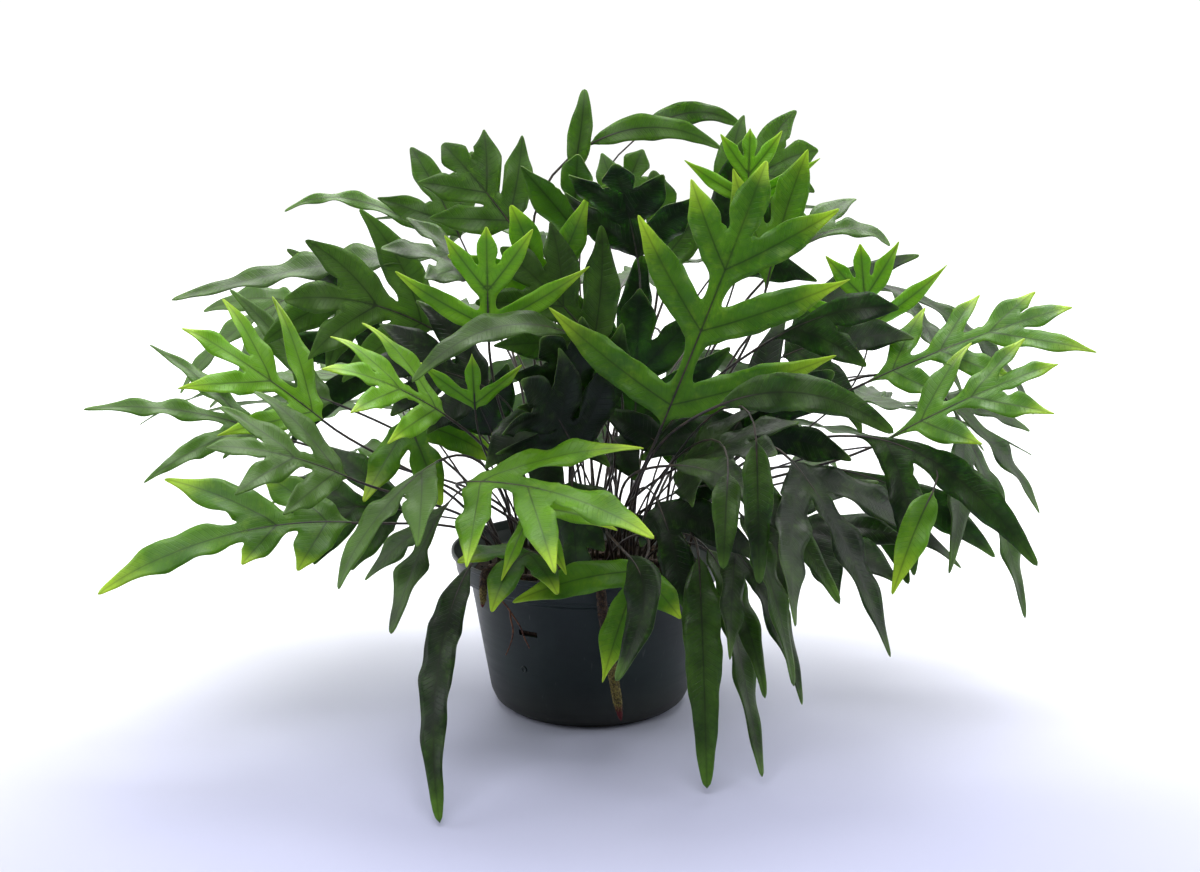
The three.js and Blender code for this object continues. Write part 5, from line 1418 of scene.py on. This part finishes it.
def pot_finish():
    material, add, feed, hold = new_material("nursery_plastic")
    place = add("ShaderNodeTexCoord", output=3)
    height = add("ShaderNodeSeparateXYZ", {0: place}, output=2)
    cloudy = noise(add, 14.0, 5.0, place)
    stretched = add("ShaderNodeMapping", {"Vector": place, "Scale": (1, 1, 16)})
    rings = noise(add, 9.0, 3.0, stretched)
    scuffs = noise(add, 240.0, 2.0, add("ShaderNodeMapping", {"Vector": place, "Scale": (1, 1, 0.15)}))
    scuffs = remap(add, scuffs, 0.66, 0.8)
    body = blend(add, remap(add, cloudy, 0.3, 0.75), PLASTIC_DARK, PLASTIC_LIGHT)
    body = blend(add, times(add, scuffs, 0.3), body, SCUFF)
    dusty = times(add, times(add, remap(add, height, 0.05, 0.0), cloudy), 0.5)
    feed("Base Color", blend(add, dusty, body, DRY_PEAT))
    feed("Roughness", plus(add, spread(add, rings, 0.18, 0.33), times(add, dusty, 0.5)))
    relief = plus(add, times(add, rings, 0.8), times(add, scuffs, 0.2))
    feed("Normal", bump(add, relief, 0.35, 0.0008))
    hold(Specular_IOR_Level=0.32)
    return material


pot.data.materials.clear()
pot.data.materials.append(pot_finish())
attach(pot, "root")
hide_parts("pot")
print(pot.name, "wears", pot.data.materials[0].name)

# %% [markdown]
# ## The soil
# Potting peat is dark, fibrous and never flat. Its top is a polar grid lifted by two sizes
# of noise, its sides follow the wall of the pot, and crumbs and bark fibres lie on it. A
# bump map alone would look smooth at the rim, where the soil is seen against the light.
# Each stalk keeps the plain hole that it stands in.

# %% The top of the soil
SOIL_RADIUS = 106.4
SOIL_RINGS = 40
SOIL_SIDES = 150
SOIL_BASE = 3.4
SOIL_GAP = 0.7
EDGE_DROP = 1.4


def soil_height(x, y):
    broad = wild.noise(Vector((x / 26, y / 26, 3.1)))
    narrow = wild.noise(Vector((x / 7, y / 7, 8.2)))
    grainy = wild.noise(Vector((x / 2.6, y / 2.6, 1.7)))
    return SOIL_TOP + 1.2 * broad + 0.7 * narrow + 0.5 * grainy


def soil_body():
    points, faces = [], []
    for ring in range(1, SOIL_RINGS + 1):
        drop = EDGE_DROP if ring == SOIL_RINGS else 0
        for x, y, _ in ring_spots(SOIL_RADIUS * ring / SOIL_RINGS, 0, SOIL_SIDES):
            points.append((x, y, soil_height(x, y) - drop))
    sides = [(WALL_TOP_RADIUS - WALL - SOIL_GAP, 120.5), (WALL_FOOT_RADIUS - WALL - SOIL_GAP, 20.4)]
    for radius, height in [*sides, (69, SOIL_BASE)]:
        points += ring_spots(radius, height, SOIL_SIDES)
    points += [(0, 0, soil_height(0, 0)), (0, 0, SOIL_BASE)]
    last = SOIL_RINGS + 2
    for ring in range(last):
        a, b = ring * SOIL_SIDES, (ring + 1) * SOIL_SIDES
        for k in range(SOIL_SIDES):
            after = (k + 1) % SOIL_SIDES
            faces.append((a + k, b + k, b + after, a + after))
    base = last * SOIL_SIDES
    for k in range(SOIL_SIDES):
        after = (k + 1) % SOIL_SIDES
        faces.append((len(points) - 2, k, after))
        faces.append((len(points) - 1, base + after, base + k))
    return points, faces


# %% The holes of the stalks
STALK_HOLE_RADIUS = 2.6
DRILL_SIDES = 10


def stalk_drills(roots):
    low, high = SOIL_TOP - STALK_DEPTH - 1, SOIL_TOP + 6
    drill, drill_faces = lathe([(STALK_HOLE_RADIUS, low), (STALK_HOLE_RADIUS, high)], DRILL_SIDES)
    points, faces = joined([(np.array(drill) + root * [1, 1, 0], drill_faces) for root in roots])
    return mesh_piece("drills", points * MM, faces, smooth=False)


roots = [np.array(spot) for spot in dict.fromkeys(tuple(np.round(frond.root, 3)) for frond in fronds)]
points, faces = soil_body()
soil = mesh_piece("soil_fine", np.array(points) * MM, faces)
cut(soil, [stalk_drills(roots)])
print("soil faces:", len(soil.data.polygons), "stalk holes:", len(roots))

# %% [markdown]
# ## The rhizome and the root
# The fern creeps by a pencil-thick rhizome. It is brown and shaggy with narrow scales where
# it is old, golden and speckled where it hangs over the rim, and wine red at its growing
# point. Its solid is a rod along a smooth curve through a few spots; the same curve is
# followed here, and hundreds of small scales are laid over it like tiles. The thin root
# beside it forks as it looks for soil.

# %% Curves through a few spots
RHIZOME_MAIN = [
    (-34, 26, 131), (-22, -18, 131), (-6, -62, 131), (3, -98, 135), (6, -116, 150), (8, -129, 153),
    (10, -139, 140), (14, -139, 104), (21, -135, 62), (27, -131, 26),
]
RHIZOME_LEFT = [
    (-22, -18, 131), (-46, -52, 131), (-66, -78, 138), (-80, -93, 151), (-89, -105, 150),
    (-92, -109, 120),
]
RHIZOME_RIGHT = [(-30, 10, 131), (10, 20, 131), (48, 2, 131), (78, -22, 131)]
RHIZOME_BACK = [(-34, 26, 131), (-30, 60, 131), (6, 82, 131)]
ROOT_MAIN = [
    (-52, -88, 128), (-62, -100, 146), (-70, -110, 150), (-80, -119, 141), (-62, -112, 108),
    (-52, -112, 84),
]
ROOT_FORK = [(-68, -114, 118), (-66, -117, 96), (-72, -119, 80)]


def curve_spot(route, share):
    route = [np.array(spot, dtype=float) for spot in route]
    knots = [2 * route[0] - route[1], *route, 2 * route[-1] - route[-2]]
    run = share * (len(route) - 1)
    k = min(int(run), len(route) - 2)
    t = run - k
    p = knots[k:k + 4]
    gap = [math.sqrt(np.linalg.norm(b - a)) for a, b in zip(p, p[1:])]
    way_in = (p[1] - p[0]) / gap[0] - (p[2] - p[0]) / (gap[0] + gap[1]) + (p[2] - p[1]) / gap[1]
    way_out = (p[2] - p[1]) / gap[1] - (p[3] - p[1]) / (gap[1] + gap[2]) + (p[3] - p[2]) / gap[2]
    way_in, way_out = way_in * gap[1], way_out * gap[1]
    cube = 2 * p[1] - 2 * p[2] + way_in + way_out
    square = 3 * p[2] - 3 * p[1] - 2 * way_in - way_out
    return p[1] + way_in * t + square * t * t + cube * t ** 3


def curve_of(route, steps):
    shares = np.linspace(0, 1, steps)
    places = np.array([curve_spot(route, share) for share in shares])
    alongs = unit(np.gradient(places, axis=0))
    return shares, places, alongs


# %% [markdown]
# ### A rod with scales
# The rhizome wears a coat of papery scales that all point to its growing end. The rod is
# swept first, and then small pointed flaps are set on it in a spiral, like tiles.

# %% A scaly rod
RHIZOME_SIDES = 16
SCALE_LENGTH = 4.2
SCALE_WIDTH = 1.1
SCALE_FACES = [(0, 2, 1), (0, 1, 3), (1, 2, 3), (2, 0, 3)]
SCALES_END = 0.965


def scaly_rod(route, radius, steps, scales, draw, hangs_from=0.6, tip=True):
    shares, places, alongs = curve_of(route, steps)
    close = 0.45 * smooth_step(0.93, 0.98, shares) + 0.35 * smooth_step(0.985, 1, shares)
    close = close if tip else 0 * shares
    radii = radius * (1 - close) * (1 + 0.05 * np.sin(47 * shares))
    side = unit(np.cross(alongs[0], UP))
    points, faces = rod_along(places, alongs, radii, RHIZOME_SIDES, side)
    ripe = smooth_step(hangs_from, 1, shares) if tip else 0 * shares
    hang = np.concatenate([np.repeat(ripe, RHIZOME_SIDES), [0.0, 1.0 if tip else 0.0]])
    for k in range(steps * RHIZOME_SIDES):
        middle = places[k // RHIZOME_SIDES]
        points[k] = middle + (points[k] - middle) * (1 + 0.07 * wild.noise(Vector(points[k] / 2.2)))
    added, hangs = [], []
    for _ in range(scales):
        k = int(draw() * SCALES_END * (steps - 1))
        along = alongs[k]
        right = unit(side - along * np.dot(side, along))
        turn = 2 * math.pi * draw()
        out = math.cos(turn) * right + math.sin(turn) * np.cross(right, along)
        beside = np.cross(out, along)
        base = places[k] + out * (radii[k] - 0.25)
        size = 0.7 + 0.6 * draw()
        first = len(points) + len(added)
        added += [base - beside * SCALE_WIDTH * size, base + beside * SCALE_WIDTH * size,
                  base + along * SCALE_LENGTH * size + out * (0.25 + 0.5 * draw()),
                  base + along * 1.2 + out * 0.55]
        hangs += [float(ripe[k])] * 4
        faces += [tuple(first + corner for corner in face) for face in SCALE_FACES]
    return np.concatenate([points, added]), faces, np.concatenate([hang, hangs])


# %% The rhizome's four branches
def join_rods(name, rods):
    points, faces = joined([rod[:2] for rod in rods])
    piece = mesh_piece(name, points * MM, faces)
    paint(piece, "hang", np.concatenate([hang for _, _, hang in rods]))
    return piece


draw = make_draw(2203)
rhizome = join_rods("rhizome_fine", [
    scaly_rod(RHIZOME_MAIN, 4.3, 120, 900, draw, hangs_from=0.58),
    scaly_rod(RHIZOME_LEFT, 3.4, 60, 380, draw, hangs_from=0.8),
    scaly_rod(RHIZOME_RIGHT, 3.4, 40, 200, draw, tip=False),
    scaly_rod(RHIZOME_BACK, 3.4, 30, 150, draw, tip=False),
])
print("rhizome faces:", len(rhizome.data.polygons))

# %% [markdown]
# ### The hanging root
# A root that has found its way over the rim is thin, brown and forked. The same sweep as
# for the stalks makes it, with fewer sides and a narrowing end.

# %% A thin forked root
ROOT_SIDES = 8


def thin_root(route, radius, end_radius, steps):
    shares, places, alongs = curve_of(route, steps)
    places = places + 0.25 * np.sin(places[:, [2, 2, 0]] / 3.1)
    radii = radius + (end_radius - radius) * shares
    points, faces = rod_along(places, alongs, radii, ROOT_SIDES, unit(np.cross(alongs[0], UP)))
    return points, faces, np.concatenate([np.repeat(shares, ROOT_SIDES), [0.0, 1.0]])


root = join_rods("root_fine", [
    thin_root(ROOT_MAIN, 1.25, 0.6, 70),
    thin_root(ROOT_FORK, 0.95, 0.45, 30),
])
print("root faces:", len(root.data.polygons))

# %% [markdown]
# ## Crumbs and fibres
# Peat is milled with bark, so short fibres and rounded crumbs lie loose on the top. Each
# crumb is a small dented ball and each fibre a bent rod, kept clear of stalks and rhizome.
# They are part of the soil's own mesh, since nobody would lift them out one by one.

# %% Crumbs, fibres and where they may lie
CRUMBS = 620
FIBRES = 150
FIBRE_RADII = [0.25, 0.45, 0.4, 0.2]
FIBRE_SIDES = 5
LITTER_RADIUS = 101
STALK_ROOM = 0.3
RHIZOME_ROOM = 5.6


def ball_points():
    phi = (1 + math.sqrt(5)) / 2
    corners = [(-1, phi, 0), (1, phi, 0), (-1, -phi, 0), (1, -phi, 0), (0, -1, phi), (0, 1, phi),
               (0, -1, -phi), (0, 1, -phi), (phi, 0, -1), (phi, 0, 1), (-phi, 0, -1), (-phi, 0, 1)]
    faces = [(0, 11, 5), (0, 5, 1), (0, 1, 7), (0, 7, 10), (0, 10, 11), (1, 5, 9), (5, 11, 4),
             (11, 10, 2), (10, 7, 6), (7, 1, 8), (3, 9, 4), (3, 4, 2), (3, 2, 6), (3, 6, 8), (3, 8, 9),
             (4, 9, 5), (2, 4, 11), (6, 2, 10), (8, 6, 7), (9, 8, 1)]
    return unit(np.array(corners)), faces


def is_open(x, y, room, blocked):
    return all((x - spot[0]) ** 2 + (y - spot[1]) ** 2 > (room + reach) ** 2 for spot, reach in blocked)


def scatter_litter(draw):
    blocked = [(spot, STALK_HOLE_RADIUS + STALK_ROOM) for spot in roots]
    for route in (RHIZOME_MAIN[:5], RHIZOME_LEFT[:5], RHIZOME_RIGHT, RHIZOME_BACK, ROOT_MAIN[:3]):
        blocked += [(curve_spot(route, share), RHIZOME_ROOM) for share in np.linspace(0, 1, 40)]
    ball, ball_faces = ball_points()
    parts = []
    for k in range(CRUMBS + FIBRES):
        radius, turn = LITTER_RADIUS * math.sqrt(draw()), 2 * math.pi * draw()
        x, y = radius * math.cos(turn), radius * math.sin(turn)
        size = 0.9 + 2.1 * draw() ** 2
        long = 3 + 6 * draw()
        if not is_open(x, y, size if k < CRUMBS else long, blocked):
            continue
        centre = np.array([x, y, soil_height(x, y) + 0.3 * size])
        if k < CRUMBS:
            stretch = np.array([0.7 + 0.6 * draw(), 0.7 + 0.6 * draw(), 0.6 + 0.3 * draw()])
            dents = np.array([0.8 + 0.4 * draw() for _ in ball])[:, None]
            parts.append((centre + ball * dents * stretch * size, ball_faces))
        else:
            way = 2 * math.pi * draw()
            reach = np.array([math.cos(way), math.sin(way), 0.12 * draw()]) * long
            bend = np.array([-reach[1], reach[0], 1.0]) * 0.12
            bent = [centre - 0.3 * reach + bend, centre + 0.4 * reach + bend]
            places = np.array([centre - reach, *bent, centre + reach])
            along = np.repeat(unit(reach)[None], len(places), axis=0)
            parts.append(rod_along(places, along, FIBRE_RADII, FIBRE_SIDES, np.cross(unit(reach), UP)))
    return joined(parts)


# %% Lay the crumbs and fibres on the soil
points, faces = scatter_litter(make_draw(977))
merge_into(soil, mesh_piece("litter", points * MM, faces))
soil.data.shade_smooth()
soil.data.set_sharp_from_angle(angle=math.radians(50))
print("soil with crumbs and fibres, faces:", len(soil.data.polygons))

# %% [markdown]
# ## Finishes of soil, rhizome and root
# Peat is nearly black when damp, with brown fibres and a few lighter crumbs, and it has no
# gloss at all. The rhizome runs from shaggy brown through speckled gold to wine red, so its
# finish reads how far each spot hangs. The root is plain reddish brown.

# %% The soil's finish
PEAT_BLACK, PEAT_BROWN, CRUMB = (0.008, 0.0055, 0.004), (0.026, 0.016, 0.009), (0.085, 0.05, 0.026)


def soil_finish():
    material, add, feed, hold = new_material("damp_peat")
    crumbs = noise(add, 420.0, 4.0)
    patches = noise(add, 45.0, 3.0)
    body = blend(add, remap(add, patches, 0.35, 0.7), PEAT_BLACK, PEAT_BROWN)
    feed("Base Color", blend(add, remap(add, crumbs, 0.56, 0.72), body, CRUMB))
    feed("Roughness", spread(add, crumbs, 0.2, 0.78))
    feed("Normal", bump(add, crumbs, 0.6, 0.0015))
    hold(Specular_IOR_Level=0.15)
    return material


# %% The rhizome's finish
OLD_BLACK, OLD_BROWN = (0.014, 0.008, 0.005), (0.07, 0.038, 0.018)
OLIVE, GOLD, SPECK = (0.075, 0.062, 0.014), (0.21, 0.17, 0.04), (0.03, 0.012, 0.008)
WINE_RED = (0.09, 0.008, 0.008)


def rhizome_finish():
    material, add, feed, hold = new_material("scaly_rhizome")
    hang = painted(add, "hang")
    hairy = noise(add, 520.0, 4.0)
    specks = noise(add, 900.0, 1.0)
    old = blend(add, remap(add, hairy, 0.4, 0.66), OLD_BLACK, OLD_BROWN)
    gold = blend(add, remap(add, hairy, 0.35, 0.6), OLIVE, GOLD)
    gold = blend(add, remap(add, specks, 0.56, 0.62), gold, SPECK)
    body = blend(add, remap(add, hang, 0.3, 0.75), old, gold)
    feed("Base Color", blend(add, remap(add, hang, 0.955, 0.99), body, WINE_RED))
    feed("Roughness", spread(add, hairy, 0.3, 0.5))
    feed("Normal", bump(add, hairy, 0.5, 0.0008))
    hold(Specular_IOR_Level=0.25)
    return material


# %% The root's finish, and what each piece wears
ROOT_DARK, ROOT_BROWN = (0.05, 0.018, 0.01), (0.17, 0.07, 0.032)


def root_finish():
    material, add, feed, hold = new_material("brown_root")
    streak = noise(add, 300.0, 3.0)
    feed("Base Color", blend(add, remap(add, streak, 0.35, 0.65), ROOT_DARK, ROOT_BROWN))
    feed("Roughness", spread(add, streak, 0.25, 0.5))
    feed("Normal", bump(add, streak, 0.4, 0.0005))
    hold(Specular_IOR_Level=0.3)
    return material


for piece, node, slot, material in (
    (soil, "soil", "peat", soil_finish()),
    (rhizome, "rhizome", "rhizome", rhizome_finish()),
    (root, "hanging_root", "root", root_finish()),
):
    piece.data.materials.clear()
    piece.data.materials.append(material)
    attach(piece, "root")
    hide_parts(node)
    print(piece.name, "wears", material.name)

# %% [markdown]
# ## The floor
# The plant stands on a pale lavender floor. Far away and towards the sides its colour is painted white and
# it glows a little, both painted light, so that it melts into the white room without a horizon line.

# %% Floor
FLOOR_HALF = 6.0
LAVENDER_LOW, LAVENDER_HIGH = (0.47, 0.485, 0.66), (0.53, 0.545, 0.71)
FAR_PAINTED_LIGHT = (0.93, 0.93, 0.95)


def make_floor():
    corners = [(x * FLOOR_HALF, y * FLOOR_HALF, 0) for x, y in ((-1, -1), (1, -1), (1, 1), (-1, 1))]
    floor = mesh_piece("floor", corners, [(0, 1, 2, 3)], smooth=False)
    material, add, feed, hold = new_material("pale_floor")
    across, depth = first_two(add, add("ShaderNodeNewGeometry", output=0))
    side = maths(add, "ABSOLUTE", across)
    far = remap(add, plus(add, depth, times(add, side, 0.55)), -0.25, 0.75)
    near = blend(add, noise(add, 3.0, 2.0), LAVENDER_LOW, LAVENDER_HIGH)
    # far away and to the sides the floor is painted white, and far away it glows: painted light
    feed("Base Color", blend(add, far, near, FAR_PAINTED_LIGHT))
    feed("Emission Strength", times(add, remap(add, depth, 0.4, 2.4), 0.75))
    hold(Roughness=0.85, Specular_IOR_Level=0.1, Emission_Color=(1, 1, 1, 1))
    floor.data.materials.append(material)
    return floor


print("floor:", make_floor().dimensions[:2])

# %% [markdown]
# ## Light
# A large soft light above and behind gives the blades their satin edges, two lamps as wide
# as windows light the sides, and a weak fill opens the front. The room is white behind the plant and dimmer
# behind the viewer, so the leaves that face the front stay deep and green.

# %% Light
PLANT_MIDDLE = (0, 0, 0.3)
WINDOW_WHITE = (0.96, 0.98, 1)
ROOM_SPAN = {"From Min": -0.1, "From Max": 0.55, "To Min": 0.14, "To Max": 1.05}


def soft_light(name, place, size, power, colour=(1, 1, 1)):
    data = bpy.data.lights.new(name, "AREA")
    data.shape, data.size, data.size_y = "RECTANGLE", size[0], size[1]
    data.energy, data.color = power, colour
    lamp = bpy.data.objects.new(name, data)
    lamp.location = place
    way = Vector(PLANT_MIDDLE) - Vector(place)
    lamp.rotation_euler = way.to_track_quat("-Z", "Y").to_euler()
    bpy.context.scene.collection.objects.link(lamp)
    return lamp


def white_room():
    world = bpy.data.worlds.new("white_room")
    world.use_nodes = True
    tree = world.node_tree
    background = tree.nodes["Background"]
    add = node_adder(tree)
    _, backward = first_two(add, add("ShaderNodeTexCoord"))
    strength = add("ShaderNodeMapRange", {0: backward, **ROOM_SPAN}, interpolation_type="SMOOTHSTEP")
    tree.links.new(strength, background.inputs["Strength"])
    background.inputs["Color"].default_value = (1, 1, 1, 1)
    return world


lamps = [
    soft_light("top_back", (0.1, 1.2, 2.2), (2.6, 1.6), 74),
    soft_light("top_front", (-0.2, -0.9, 2.3), (1.8, 1.2), 28),
    soft_light("left_window", (-2.2, -0.1, 1.3), (1.6, 1.6), 20, WINDOW_WHITE),
    soft_light("right_window", (2.2, 0.1, 1.3), (1.6, 1.6), 20, WINDOW_WHITE),
]
bpy.context.scene.world = white_room()
bpy.context.scene.view_settings.view_transform = "Standard"
print("lights:", [lamp.name for lamp in lamps])

# %% [markdown]
# ## Camera
# The plant is seen from the front, from a little above the pot's rim, with a lens of
# medium length that keeps the round rim's ellipse true.

# %% Camera
SENSOR_WIDTH, LENS = 36, 52.8
CAMERA_PLACE = (0.009, -1.560, 0.568)
CAMERA_DIP = 11.6
camera_data = bpy.data.cameras.new("camera")
camera_data.sensor_width, camera_data.lens = SENSOR_WIDTH, LENS
camera = bpy.data.objects.new("camera", camera_data)
camera.location = CAMERA_PLACE
camera.rotation_euler = (math.radians(90 - CAMERA_DIP), 0, 0)
bpy.context.scene.collection.objects.link(camera)
bpy.context.scene.camera = camera
print("camera looks down by", CAMERA_DIP, "degrees from", CAMERA_PLACE)

# %% [markdown]
# ## The end
# Last, the view layer is brought up to date.

# %% The end
bpy.context.view_layer.update()
